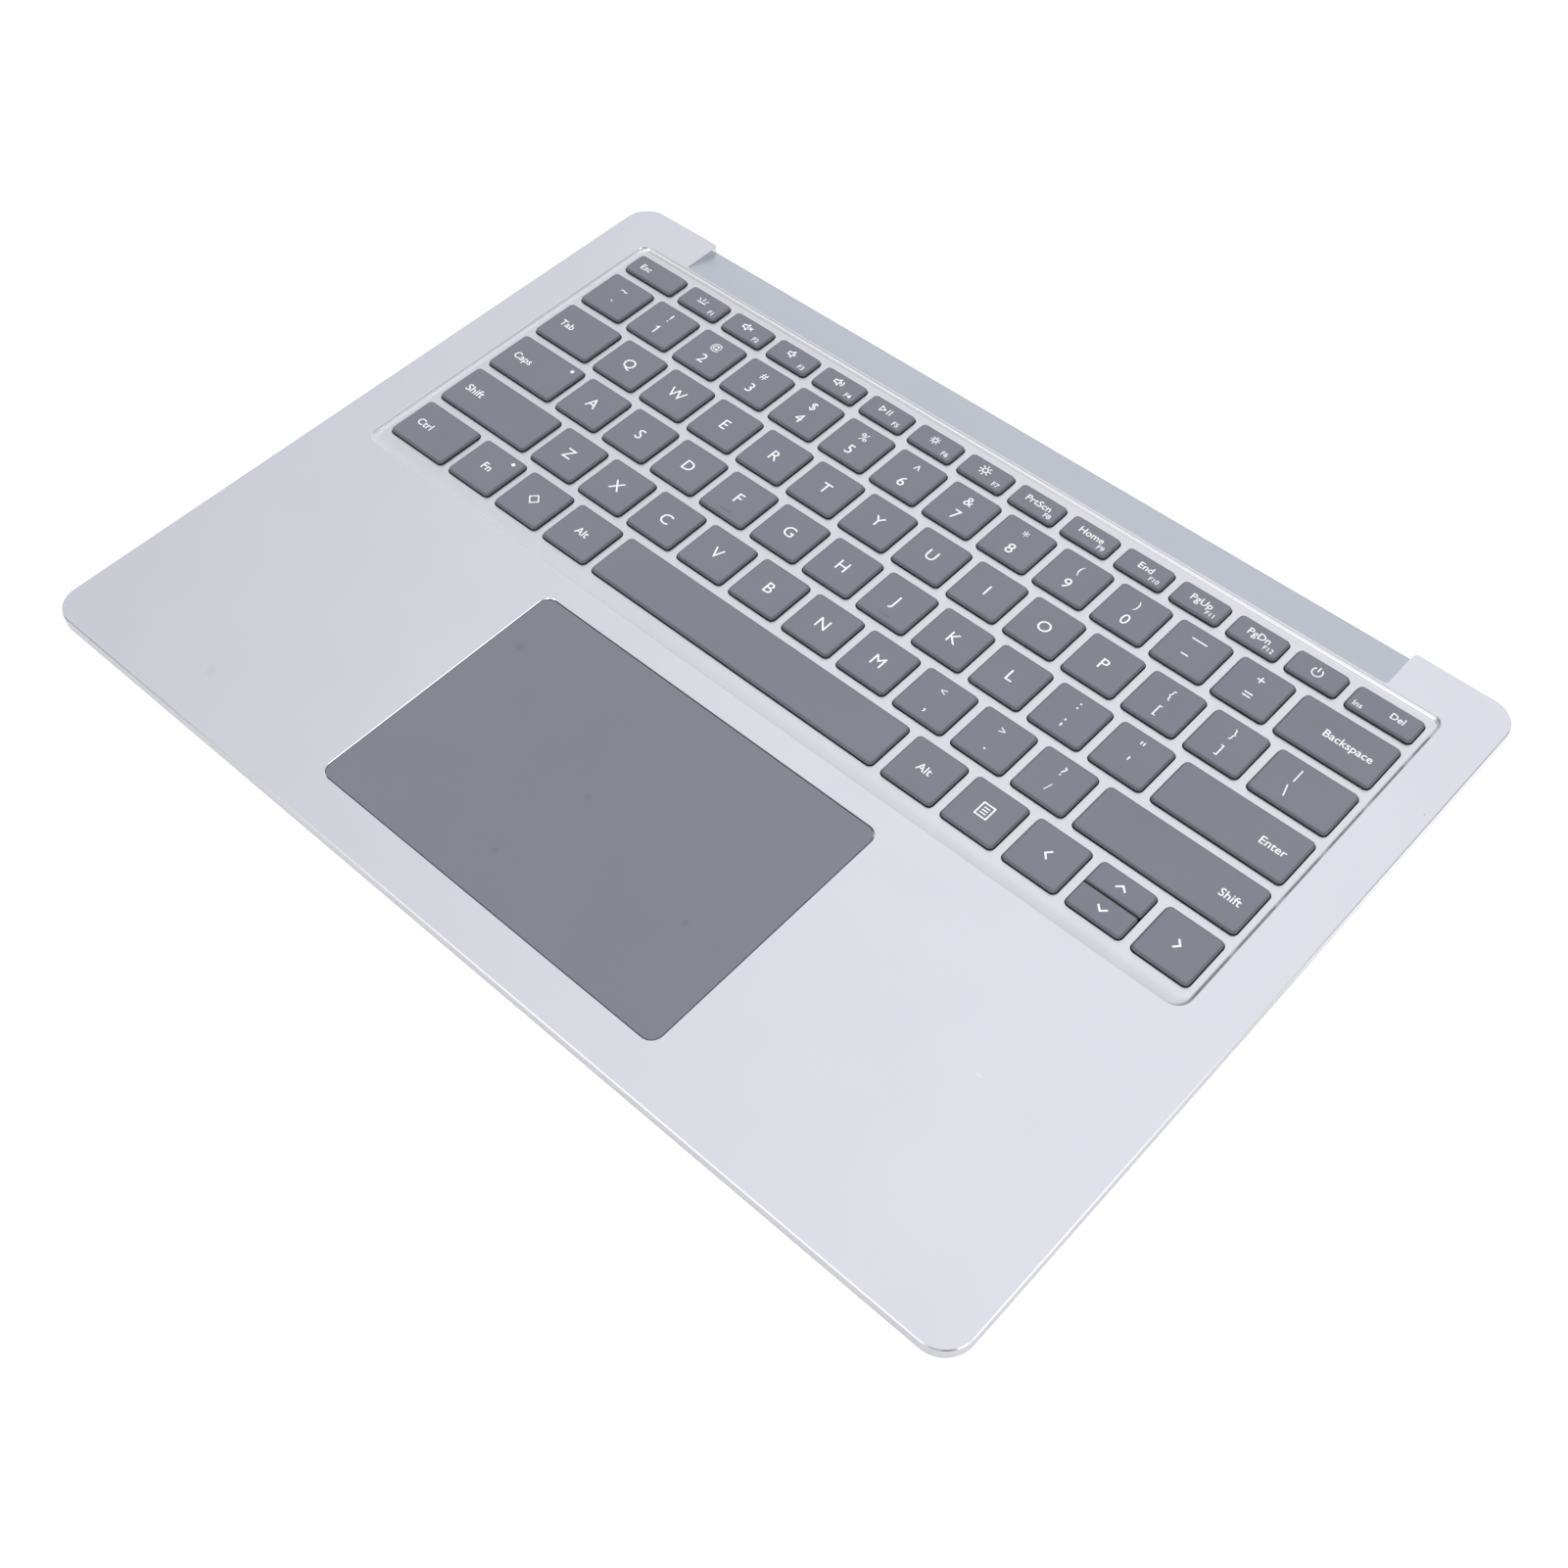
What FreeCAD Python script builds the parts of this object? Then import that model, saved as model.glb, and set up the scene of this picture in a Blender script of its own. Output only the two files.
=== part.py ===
import FreeCAD, Part
import math
import os

from FreeCAD import Vector

os.makedirs("parts", exist_ok=True)

# Key layout
key_pitch = 19.0
key_gap = 3.05
key_depth = 15.4
row_gap = 3.3
tab_width = 20.95
caps_width = 24.8
shift_width = 34.4
ctrl_width = 20.95
backslash_width = 22.6
arrow_gap = 0.6
function_pitch = 17.97
function_gap = 2.97
function_depth = 8.0

# Keycaps
key_thickness = 1.2
key_draft = 0.1
key_corner_radius = 1.2
corner_flats = 3
key_clearance = 0.3
key_travel = 1.3
key_sunk = 0.1
homing_bar_length = 3.6
homing_bar_width = 0.6
homing_bar_height = 0.15
homing_bar_inset = 2.4

# Top case
side_margin = 16.7
rear_margin = 17.9
front_margin = 12.4
case_corner_radius = 8.0
edge_chamfer = 0.4
rim_wall = 1.2
palm_thickness = 1.0

# Keyboard well
well_depth = 1.2
web_thickness = 0.8
well_wall = 1.0
well_side_margin = 3.1
well_rear_margin = 3.6
well_front_margin = 6.7
well_wall_run = 1.2
well_ramp_run = 4.5
well_rear_radius = 3.0
well_front_radius = 4.5
well_floor_radius = 1.6

# Hinge notch between the rear ears
ear_width = 31.1
ridge_width = 0.7
notch_corner_radius = 1.8
ear_corner_radius = 1.0
strip_step = 0.15
strip_drop = 2.2
strip_setback = 1.15
strip_thickness = 1.0

# Keyboard stack under the web
foot_clearance = 0.3
backlight_thickness = 0.35
backlight_inset = 5.0
plate_thickness = 0.3
membrane_thickness = 0.15
membrane_clearance = 0.4
folded_dome = 0.4
seat_rib_width = 1.2
seat_rib_offset = 1.6
dome_base = 5.0
dome_top = 2.6
dome_clearance = 0.05
link_span = 8.0
link_bar = 1.6
link_width = 1.4
link_edge_inset = 1.5
link_slot_clearance = 0.3

# Touchpad
touchpad_width = 115.2
touchpad_depth = 77.5
touchpad_corner_radius = 3.2
touchpad_clearance = 0.3
touchpad_recess = 0.05
touchpad_to_keys = 14.4
glass_thickness = 0.8
board_thickness = 0.8
board_inset = 1.2

# Touchpad bracket and switch
switch_size = 5.0
switch_body = 0.25
plunger_radius = 1.2
plunger_height = 0.25
switch_gap = 0.25
switch_front_inset = 8.0
bracket_thickness = 0.4
bracket_flange = 6.0
bracket_front_inset = 3.0
bracket_bar = 9.0
bracket_spine = 18.0
hinge_tongue_length = 22.0
hinge_tongue_depth = 4.0
hinge_tongue_spacing = 70.0
hinge_rear_inset = 2.0
pad_width = 4.6
pad_length = 48.0

# Cover screw bosses
boss_diameter = 5.0
boss_inset = 9.0
screw_hole_diameter = 1.6
screw_hole_depth = 2.0

# Sizes that follow from the layout
key_width = key_pitch - key_gap
function_width = function_pitch - function_gap
block_width = tab_width + key_gap + 12 * key_pitch + backslash_width
block_depth = function_depth + 5 * (row_gap + key_depth)
case_width = block_width + 2 * side_margin
case_depth = rear_margin + block_depth + touchpad_to_keys + touchpad_depth + front_margin
half_width = case_width / 2
half_depth = case_depth / 2
block_left = -block_width / 2
block_right = block_width / 2
block_rear = half_depth - rear_margin
block_front = block_rear - block_depth

# Levels, from the surface that the rim rests on
backlight_bottom = foot_clearance
plate_bottom = backlight_bottom + backlight_thickness
plate_top = plate_bottom + plate_thickness
membrane_top = plate_top + membrane_thickness
key_bottom = membrane_top + folded_dome + key_travel
key_top = key_bottom + key_thickness
palm_level = key_top + key_sunk
palm_underside = palm_level - palm_thickness
web_level = palm_level - well_depth
web_underside = web_level - web_thickness
dome_level = key_bottom - dome_clearance


def box(x0, x1, y0, y1, z0, z1):
    return Part.makeBox(x1 - x0, y1 - y0, z1 - z0, Vector(x0, y0, z0))


def rounded_wire(x0, x1, y0, y1, z, front_radius, rear_radius):
    """Closed outline with straight sides and quarter-round corners."""
    f = front_radius
    r = rear_radius
    corners = [
        (x1 - f, y0 + f, f, -90.0),
        (x1 - r, y1 - r, r, 0.0),
        (x0 + r, y1 - r, r, 90.0),
        (x0 + f, y0 + f, f, 180.0),
    ]
    arcs = []
    for cx, cy, radius, start in corners:
        points = []
        for turn in (0.0, 45.0, 90.0):
            a = math.radians(start + turn)
            points.append(Vector(cx + radius * math.cos(a), cy + radius * math.sin(a), z))
        arcs.append(points)
    edges = []
    for i, points in enumerate(arcs):
        following = arcs[(i + 1) % 4]
        edges.append(Part.Arc(points[0], points[1], points[2]).toShape())
        edges.append(Part.makeLine(points[2], following[0]))
    return Part.Wire(edges)


def rounded_prism(x0, x1, y0, y1, z0, z1, radius):
    outline = rounded_wire(x0, x1, y0, y1, z0, radius, radius)
    return Part.Face(outline).extrude(Vector(0, 0, z1 - z0))


def prism_along_x(profile, x0, x1):
    """Closed profile of (y, z) points drawn out along the width."""
    points = [Vector(x0, y, z) for y, z in profile]
    return Part.Face(Part.makePolygon(points + [points[0]])).extrude(Vector(x1 - x0, 0, 0))


def prism_along_y(profile, y0, y1):
    """Closed profile of (x, z) points drawn out along the depth."""
    points = [Vector(x, y0, z) for x, z in profile]
    return Part.Face(Part.makePolygon(points + [points[0]])).extrude(Vector(0, y1 - y0, 0))


def save(name, shape):
    shape.exportStep("parts/" + name + ".step")
    kinds = [s.Volume for s in shape.Solids]
    print(name, len(kinds), "solid(s)", round(sum(kinds), 1), "mm3", shape.isValid())


# Rows of keys
def lay_row(names, first_width, unit_width, gap, rear, depth):
    """Key tops from the left: a first key, unit keys, and a last key that fills the row."""
    keys = {}
    front = rear - depth
    x = block_left
    keys[names[0]] = (x, x + first_width, front, rear)
    x += first_width + gap
    for name in names[1:-1]:
        keys[name] = (x, x + unit_width, front, rear)
        x += unit_width + gap
    keys[names[-1]] = (x, block_right, front, rear)
    return keys


row_rear = [block_rear, block_rear - function_depth - row_gap]
for i in range(4):
    row_rear.append(row_rear[-1] - key_depth - row_gap)

function_names = ["esc"] + ["f" + str(i) for i in range(1, 13)] + ["power", "delete"]
number_names = ["grave"] + list("1234567890") + ["minus", "equals", "backspace"]
tab_names = ["tab"] + list("qwertyuiop") + ["left_bracket", "right_bracket", "backslash"]
caps_names = ["caps"] + list("asdfghjkl") + ["semicolon", "quote", "enter"]
shift_names = ["left_shift"] + list("zxcvbnm") + ["comma", "period", "slash", "right_shift"]

esc_width = (block_width - 13 * function_pitch - function_gap) / 2
fixed_keys = lay_row(function_names, esc_width, function_width, function_gap, row_rear[0], function_depth)
fixed_keys.update(lay_row(number_names, key_width, key_width, key_gap, row_rear[1], key_depth))

moving_keys = lay_row(tab_names, tab_width, key_width, key_gap, row_rear[2], key_depth)
moving_keys.update(lay_row(caps_names, caps_width, key_width, key_gap, row_rear[3], key_depth))
moving_keys.update(lay_row(shift_names, shift_width, key_width, key_gap, row_rear[4], key_depth))

# Bottom row, laid from both ends towards the space bar
rear = row_rear[5]
front = rear - key_depth
x = block_left
for name, width in (("left_ctrl", ctrl_width), ("fn", key_width), ("system", key_width), ("left_alt", key_width)):
    moving_keys[name] = (x, x + width, front, rear)
    x += width + key_gap
space_left = x
x = block_right
for name in ("arrow_right", "arrow_pair", "arrow_left", "menu", "right_alt"):
    moving_keys[name] = (x - key_width, x, front, rear)
    x -= key_pitch
moving_keys["space"] = (space_left, x, front, rear)

# Openings in the web follow the keys, and the two half keys share one
openings = dict(fixed_keys)
openings.update(moving_keys)
pair_left, pair_right, pair_front, pair_rear = moving_keys.pop("arrow_pair")
half_key = (key_depth - arrow_gap) / 2
moving_keys["arrow_up"] = (pair_left, pair_right, pair_rear - half_key, pair_rear)
moving_keys["arrow_down"] = (pair_left, pair_right, pair_front, pair_front + half_key)


def key_outline(x0, x1, y0, y1, z, radius):
    """Corners of a key's outline, with each rounded corner turned in a few equal flats."""
    centres = [
        (x1 - radius, y0 + radius, -90.0),
        (x1 - radius, y1 - radius, 0.0),
        (x0 + radius, y1 - radius, 90.0),
        (x0 + radius, y0 + radius, 180.0),
    ]
    points = []
    for cx, cy, start in centres:
        for step in range(corner_flats + 1):
            a = math.radians(start + 90.0 * step / corner_flats)
            points.append(Vector(cx + radius * math.cos(a), cy + radius * math.sin(a), z))
    return points


def flat_face(points):
    return Part.Face(Part.makePolygon(points + [points[0]]))


def keycap(span):
    """Flat cap with rounded corners and slightly drafted sides."""
    x0, x1, y0, y1 = span
    d = key_draft
    r = key_corner_radius
    top = key_outline(x0, x1, y0, y1, key_top, r)
    skirt = key_outline(x0 - d, x1 + d, y0 - d, y1 + d, key_bottom, r + d)
    faces = [flat_face(top), flat_face(skirt)]
    for i in range(len(top)):
        n = (i + 1) % len(top)
        faces.append(flat_face([skirt[i], skirt[n], top[n], top[i]]))
    shell = Part.makeShell(faces)
    shell.sewShape()
    cap = Part.makeSolid(shell)
    if cap.Volume < 0:
        cap.reverse()
    return cap


def homing_bar(span):
    x0, x1, y0, y1 = span
    middle = (x0 + x1) / 2
    y = y0 + homing_bar_inset
    half = homing_bar_length / 2
    return box(middle - half, middle + half, y, y + homing_bar_width, key_top, key_top + homing_bar_height)


def link_places(span):
    """Middle of each lifting mechanism under a key: one, or two under a long bar."""
    x0, x1, y0, y1 = span
    middle = (x0 + x1) / 2
    if x1 - x0 < 4 * key_pitch:
        return [middle]
    offset = (x1 - x0) / 2 - key_pitch
    return [middle - offset, middle + offset]


def link_rows(span):
    """Front and rear strips of depth that the two crossing links of a key run in."""
    x0, x1, y0, y1 = span
    front_strip = (y0 + link_edge_inset - link_width / 2, y0 + link_edge_inset + link_width / 2)
    rear_strip = (y1 - link_edge_inset - link_width / 2, y1 - link_edge_inset + link_width / 2)
    return front_strip, rear_strip


def scissor_links(span, foot, head):
    """Two crossing links that carry a key, seen from the front as an X."""
    front_strip, rear_strip = link_rows(span)
    half = link_span / 2
    bar = link_bar / 2
    links = []
    for middle in link_places(span):
        for lean, strip in ((1, front_strip), (-1, rear_strip)):
            low = middle - lean * half
            high = middle + lean * half
            profile = [(low - bar, foot), (low + bar, foot), (high + bar, head), (high - bar, head)]
            links.append(prism_along_y(profile, strip[0], strip[1]))
    return links


def rubber_dome(span):
    """Small frustum under the middle of a key, narrowed to fit between the links."""
    x0, x1, y0, y1 = span
    room = y1 - y0 - 2 * link_edge_inset - link_width - 2 * link_slot_clearance
    base = min(dome_base, room - 2 * link_slot_clearance) / 2
    tip = base * dome_top / dome_base
    cx = (x0 + x1) / 2
    cy = (y0 + y1) / 2
    height = dome_level - membrane_top
    dome = Part.makeWedge(-base, 0, -base, -tip, -tip, base, height, base, tip, tip)
    dome.rotate(Vector(0, 0, 0), Vector(1, 0, 0), 90)
    dome.translate(Vector(cx, cy, membrane_top))
    return dome


# Top case outline and hollow
outer = rounded_prism(-half_width, half_width, -half_depth, half_depth, 0, palm_level, case_corner_radius)
rim_edges = []
for edge in outer.Edges:
    if abs(edge.BoundBox.ZMin - palm_level) < 1e-6 and abs(edge.BoundBox.ZMax - palm_level) < 1e-6:
        rim_edges.append(edge)
outer = outer.makeChamfer(edge_chamfer, rim_edges)

hollow = rounded_prism(
    -half_width + rim_wall,
    half_width - rim_wall,
    -half_depth + rim_wall,
    half_depth - rim_wall,
    -1,
    palm_underside,
    case_corner_radius - rim_wall,
)

# Keyboard well: crisp side and rear walls, and a wide ramp at the front
well_left = block_left - well_side_margin
well_right = block_right + well_side_margin
well_rear = block_rear + well_rear_margin
well_front = block_front - well_front_margin
well_mouth = rounded_wire(
    well_left, well_right, well_front, well_rear, palm_level, well_front_radius, well_rear_radius
)
well_floor = rounded_wire(
    well_left + well_wall_run,
    well_right - well_wall_run,
    well_front + well_ramp_run,
    well_rear - well_wall_run,
    web_level,
    well_floor_radius,
    well_floor_radius,
)
well = Part.makeLoft([well_floor, well_mouth], True, True)

# Hinge notch: a strip that falls away to the rear between the two ears
notch_right = half_width - ear_width
notch_left = -notch_right
notch_front = well_rear + ridge_width
strip_rear = half_depth - strip_setback
strip_high = palm_level - strip_step
strip_low = palm_level - strip_drop
notch = prism_along_x(
    [
        (notch_front, strip_high),
        (notch_front, palm_level + 1),
        (half_depth + 1, palm_level + 1),
        (half_depth + 1, -1),
        (strip_rear, -1),
        (strip_rear, strip_low),
    ],
    notch_left,
    notch_right,
)
notch_plan = rounded_prism(
    notch_left,
    notch_right,
    notch_front,
    half_depth + 2 * notch_corner_radius,
    -1,
    palm_level + 1,
    notch_corner_radius,
)
notch = notch.common(notch_plan)
ear_rounds = []
for side in (-1, 1):
    edge = side * notch_right
    inner = edge + side * ear_corner_radius
    corner = box(
        min(edge, inner),
        max(edge, inner),
        half_depth - ear_corner_radius,
        half_depth + 1,
        -1,
        palm_level + 1,
    )
    round_off = Part.makeCylinder(
        ear_corner_radius, palm_level + 4, Vector(inner, half_depth - ear_corner_radius, -2)
    )
    ear_rounds.append(corner.cut(round_off))

# Material that stays inside the hollow
well_block = box(
    well_left - well_wall,
    well_right + well_wall,
    well_front - well_wall,
    well_rear + well_wall,
    web_underside,
    palm_level,
)
strip_block = prism_along_x(
    [
        (well_rear, strip_high - strip_thickness),
        (well_rear, palm_level),
        (half_depth, palm_level),
        (half_depth, -1),
        (strip_rear - rim_wall, -1),
        (strip_rear - rim_wall, strip_low - strip_thickness),
        (notch_front, strip_high - strip_thickness),
    ],
    notch_left,
    notch_right,
)
kept = [well_block, strip_block]
for side in (notch_left - rim_wall, notch_right):
    kept.append(box(side, side + rim_wall, notch_front - rim_wall, half_depth, -1, palm_level))

# Rib that the keyboard plate seats against, all round the keys
rib_left = block_left - seat_rib_offset
rib_right = block_right + seat_rib_offset
rib_front = block_front - seat_rib_offset
rib_rear = block_rear + seat_rib_offset
rib = box(
    rib_left - seat_rib_width,
    rib_right + seat_rib_width,
    rib_front - seat_rib_width,
    rib_rear + seat_rib_width,
    plate_top,
    palm_level,
)
rib = rib.cut(box(rib_left, rib_right, rib_front, rib_rear, plate_top - 1, palm_level + 1))
kept.append(rib)

# Bosses for the screws of the bottom cover
boss_places = []
for sx in (-1, 1):
    for sy in (-1, 1):
        boss_places.append((sx * (half_width - boss_inset), sy * (half_depth - boss_inset)))
for bx, by in boss_places:
    kept.append(Part.makeCylinder(boss_diameter / 2, palm_level, Vector(bx, by, 0)))

# Touchpad place and levels
pad_rear = block_front - touchpad_to_keys
pad_front = pad_rear - touchpad_depth
pad_left = -touchpad_width / 2
pad_right = touchpad_width / 2
glass_top = palm_level - touchpad_recess
glass_bottom = glass_top - glass_thickness
board_bottom = glass_bottom - board_thickness
plunger_bottom = board_bottom - switch_body - plunger_height
bracket_top = plunger_bottom - switch_gap
bracket_bottom = bracket_top - bracket_thickness
board_left = pad_left + board_inset
board_right = pad_right - board_inset
board_front = pad_front + board_inset
board_rear = pad_rear - board_inset
bracket_left = pad_left - touchpad_clearance - bracket_flange
bracket_right = pad_right + touchpad_clearance + bracket_flange
bracket_front = pad_front + bracket_front_inset
bracket_rear = board_rear - hinge_rear_inset + hinge_tongue_depth / 2
pad_middle = (bracket_front + bracket_rear) / 2

# Long pads beside the touchpad opening that its bracket is fixed under
for side in (bracket_left, bracket_right - pad_width):
    kept.append(
        box(side, side + pad_width, pad_middle - pad_length / 2, pad_middle + pad_length / 2, bracket_top, palm_level)
    )

for piece in kept:
    hollow = hollow.cut(piece)

cutters = [hollow, well, notch] + ear_rounds
aperture_radius = key_corner_radius + key_draft + key_clearance
corner_cut = aperture_radius * (2 - math.sqrt(2))
for span in openings.values():
    grow = key_draft + key_clearance
    x0 = span[0] - grow
    x1 = span[1] + grow
    y0 = span[2] - grow
    y1 = span[3] + grow
    c = corner_cut
    points = [
        Vector(x0 + c, y0, web_underside - 1),
        Vector(x1 - c, y0, web_underside - 1),
        Vector(x1, y0 + c, web_underside - 1),
        Vector(x1, y1 - c, web_underside - 1),
        Vector(x1 - c, y1, web_underside - 1),
        Vector(x0 + c, y1, web_underside - 1),
        Vector(x0, y1 - c, web_underside - 1),
        Vector(x0, y0 + c, web_underside - 1),
    ]
    outline = Part.makePolygon(points + [points[0]])
    cutters.append(Part.Face(outline).extrude(Vector(0, 0, well_depth + web_thickness + 2)))

cutters.append(
    rounded_prism(
        pad_left - touchpad_clearance,
        pad_right + touchpad_clearance,
        pad_front - touchpad_clearance,
        pad_rear + touchpad_clearance,
        palm_underside - 1,
        palm_level + 1,
        touchpad_corner_radius + touchpad_clearance,
    )
)
for bx, by in boss_places:
    cutters.append(Part.makeCylinder(screw_hole_diameter / 2, screw_hole_depth, Vector(bx, by, 0)))

top_case = outer.cut(cutters).removeSplitter()
save("top_case", top_case)

# Keyboard plate, with the two rear rows of keys carried on it by their links
plate = box(
    rib_left - seat_rib_width,
    rib_right + seat_rib_width,
    rib_front - seat_rib_width,
    rib_rear + seat_rib_width,
    plate_bottom,
    plate_top,
)
carried = []
for span in fixed_keys.values():
    carried.append(keycap(span))
    carried.extend(scissor_links(span, plate_bottom + plate_thickness / 2, key_bottom + key_thickness / 2))
keyboard_plate = plate.fuse(carried).removeSplitter()
save("keyboard_plate", keyboard_plate)

# Membrane, slotted where the links of the rear rows reach down to the plate
membrane = box(
    rib_left + membrane_clearance,
    rib_right - membrane_clearance,
    rib_front + membrane_clearance,
    rib_rear - membrane_clearance,
    plate_top,
    membrane_top,
)
slots = []
slot_reach = link_span / 2 + link_bar / 2 + link_slot_clearance
for first, last in (("esc", "delete"), ("grave", "backspace")):
    left = link_places(fixed_keys[first])[0] - slot_reach
    right = link_places(fixed_keys[last])[-1] + slot_reach
    for y0, y1 in link_rows(fixed_keys[first]):
        slots.append(
            box(left, right, y0 - link_slot_clearance, y1 + link_slot_clearance, plate_top - 1, membrane_top + 1)
        )
membrane_sheet = membrane.cut(slots)
save("membrane_sheet", membrane_sheet)

domes = [rubber_dome(span) for span in list(fixed_keys.values()) + list(moving_keys.values())]
save("key_domes", Part.makeCompound(domes))

links = []
for span in moving_keys.values():
    links.extend(scissor_links(span, membrane_top, dome_level))
save("scissor_links", Part.makeCompound(links))

backlight = box(
    rib_left + backlight_inset,
    rib_right - backlight_inset,
    rib_front + backlight_inset,
    rib_rear - backlight_inset,
    backlight_bottom,
    plate_bottom,
)
save("backlight_sheet", backlight)

for name, span in moving_keys.items():
    cap = keycap(span)
    if name in ("f", "j"):
        cap = cap.fuse(homing_bar(span)).removeSplitter()
    save("key_" + name, cap)

# Touchpad
glass = rounded_prism(
    pad_left, pad_right, pad_front, pad_rear, glass_bottom, glass_top, touchpad_corner_radius
)
save("touchpad_glass", glass)

board = box(board_left, board_right, board_front, board_rear, board_bottom, glass_bottom)
save("touchpad_board", board)

switch_y = pad_front + switch_front_inset
switch = box(
    -switch_size / 2,
    switch_size / 2,
    switch_y - switch_size / 2,
    switch_y + switch_size / 2,
    board_bottom - switch_body,
    board_bottom,
)
plunger = Part.makeCylinder(
    plunger_radius, plunger_height + switch_body / 2, Vector(0, switch_y, plunger_bottom)
)
save("touchpad_switch", switch.fuse(plunger).removeSplitter())

# Bracket: a frame with a middle spine, and two tongues at the rear that the board tips on
bracket = box(bracket_left, bracket_right, bracket_front, bracket_rear, bracket_bottom, bracket_top)
windows = []
for x0, x1 in (
    (bracket_left + bracket_bar, -bracket_spine / 2),
    (bracket_spine / 2, bracket_right - bracket_bar),
):
    windows.append(
        rounded_prism(
            x0,
            x1,
            bracket_front + bracket_bar,
            bracket_rear - bracket_bar,
            bracket_bottom - 1,
            bracket_top + 1,
            touchpad_corner_radius,
        )
    )
bracket = bracket.cut(windows)
tongues = []
tongue_rear = board_rear - hinge_rear_inset
for middle in (-hinge_tongue_spacing / 2, hinge_tongue_spacing / 2):
    tongues.append(
        box(
            middle - hinge_tongue_length / 2,
            middle + hinge_tongue_length / 2,
            tongue_rear - hinge_tongue_depth,
            tongue_rear,
            bracket_bottom,
            board_bottom,
        )
    )
bracket = bracket.fuse(tongues).removeSplitter()
save("touchpad_bracket", bracket)

print("case", round(case_width, 2), "x", round(case_depth, 2), "x", round(palm_level, 2))
print("key travel", key_travel, "touchpad axis", round(tongue_rear - hinge_tongue_depth, 3), round(board_bottom, 3))
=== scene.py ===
# %% [markdown]
# The palm rest of a thin laptop: a machined aluminium top case with a sunken keyboard
# well, seventy-nine low keys and a satin glass touchpad. The solids that move and collide
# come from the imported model. This lesson dresses them: it rebuilds what the eye sees with
# small radii, printed legends and real finishes, and gives the layers below theirs too.

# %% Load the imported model
import math

import bmesh
import bpy
from mathutils import Matrix, Vector


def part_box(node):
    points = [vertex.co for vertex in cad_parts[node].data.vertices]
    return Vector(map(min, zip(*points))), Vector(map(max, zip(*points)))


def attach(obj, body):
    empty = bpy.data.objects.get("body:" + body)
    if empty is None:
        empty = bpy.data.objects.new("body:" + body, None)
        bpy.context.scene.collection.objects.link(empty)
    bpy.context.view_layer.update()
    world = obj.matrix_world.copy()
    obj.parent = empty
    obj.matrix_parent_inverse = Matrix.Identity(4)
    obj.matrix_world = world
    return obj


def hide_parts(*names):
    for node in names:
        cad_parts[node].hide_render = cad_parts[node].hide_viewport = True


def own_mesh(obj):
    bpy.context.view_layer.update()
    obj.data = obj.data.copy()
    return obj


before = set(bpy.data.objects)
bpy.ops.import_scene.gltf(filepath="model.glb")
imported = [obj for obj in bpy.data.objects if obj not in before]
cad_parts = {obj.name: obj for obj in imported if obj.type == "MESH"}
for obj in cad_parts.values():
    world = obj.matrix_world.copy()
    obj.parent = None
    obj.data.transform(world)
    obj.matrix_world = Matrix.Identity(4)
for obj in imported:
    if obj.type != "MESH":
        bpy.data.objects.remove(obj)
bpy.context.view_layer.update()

# %% [markdown]
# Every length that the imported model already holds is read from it, so the dressing follows
# the solids. Meshes are drawn in millimetres, which keeps the numbers easy to read, and are
# brought to metres when a piece is finished.

# %% Read the sizes
MM = 0.001


def node_box(name):
    """Lowest and highest corner of a node, in millimetres."""
    low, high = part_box(name)
    return low / MM, high / MM


case_high = node_box("top_case")[1]
half_width = case_high.x
half_depth = case_high.y
palm_level = case_high.z
key_low, key_high = node_box("key_q")
key_bottom = key_low.z
key_top = key_high.z
skirt = 0.1
print("case", round(2 * half_width, 2), "x", round(2 * half_depth, 2), "palm", round(palm_level, 2))
print("keys from", round(key_bottom, 2), "to", round(key_top, 2))

# %% [markdown]
# Aluminium, plastic and glass all carry a fine grain and a few soft marks from handling.
# One could draw these anew in each material. Two node groups do it once: one gives the fine
# grain as a height and a tone, the other the wide soft marks, and each material places them
# with its own values. They hold textures only, and the shader stays in the material.

# %% Shared grain and mark groups
def set_values(node, values):
    for label, value in values.items():
        node.inputs[label].default_value = value


def add_node(tree, kind, values=None, **settings):
    """A node with its settings, and with values on its input sockets."""
    node = tree.nodes.new("ShaderNode" + kind)
    for label, setting in settings.items():
        setattr(node, label, setting)
    set_values(node, values or {})
    return node


def join(tree, *rows):
    """Links nodes. Each row is a node, its output, the next node and its input."""
    for source, output, target, label in rows:
        tree.links.new(source.outputs[output], target.inputs[label])


def texture_group(name, numbers, outputs, vectors=()):
    """A node group with its sockets. Returns the group, its input node and its output node."""
    group = bpy.data.node_groups.new(name, "ShaderNodeTree")
    for label in vectors:
        group.interface.new_socket(label, in_out="INPUT", socket_type="NodeSocketVector")
    for label, value in numbers:
        socket = group.interface.new_socket(label, in_out="INPUT", socket_type="NodeSocketFloat")
        socket.default_value = value
    for label in outputs:
        group.interface.new_socket(label, in_out="OUTPUT", socket_type="NodeSocketFloat")
    nodes = group.nodes
    return group, nodes.new("NodeGroupInput"), nodes.new("NodeGroupOutput")


fine_grain, given, made = texture_group("fine_grain", [("Fineness", 4000.0)], ["Height", "Tone"])
place = add_node(fine_grain, "TexCoord")
grit = add_node(fine_grain, "TexNoise", {"Detail": 1.0, "Roughness": 0.6})
cloud = add_node(fine_grain, "TexNoise", {"Scale": 45.0, "Detail": 1.0})
join(
    fine_grain,
    (place, "Object", grit, "Vector"),
    (place, "Object", cloud, "Vector"),
    (given, "Fineness", grit, "Scale"),
    (grit, "Fac", made, "Height"),
    (cloud, "Fac", made, "Tone"),
)

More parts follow.
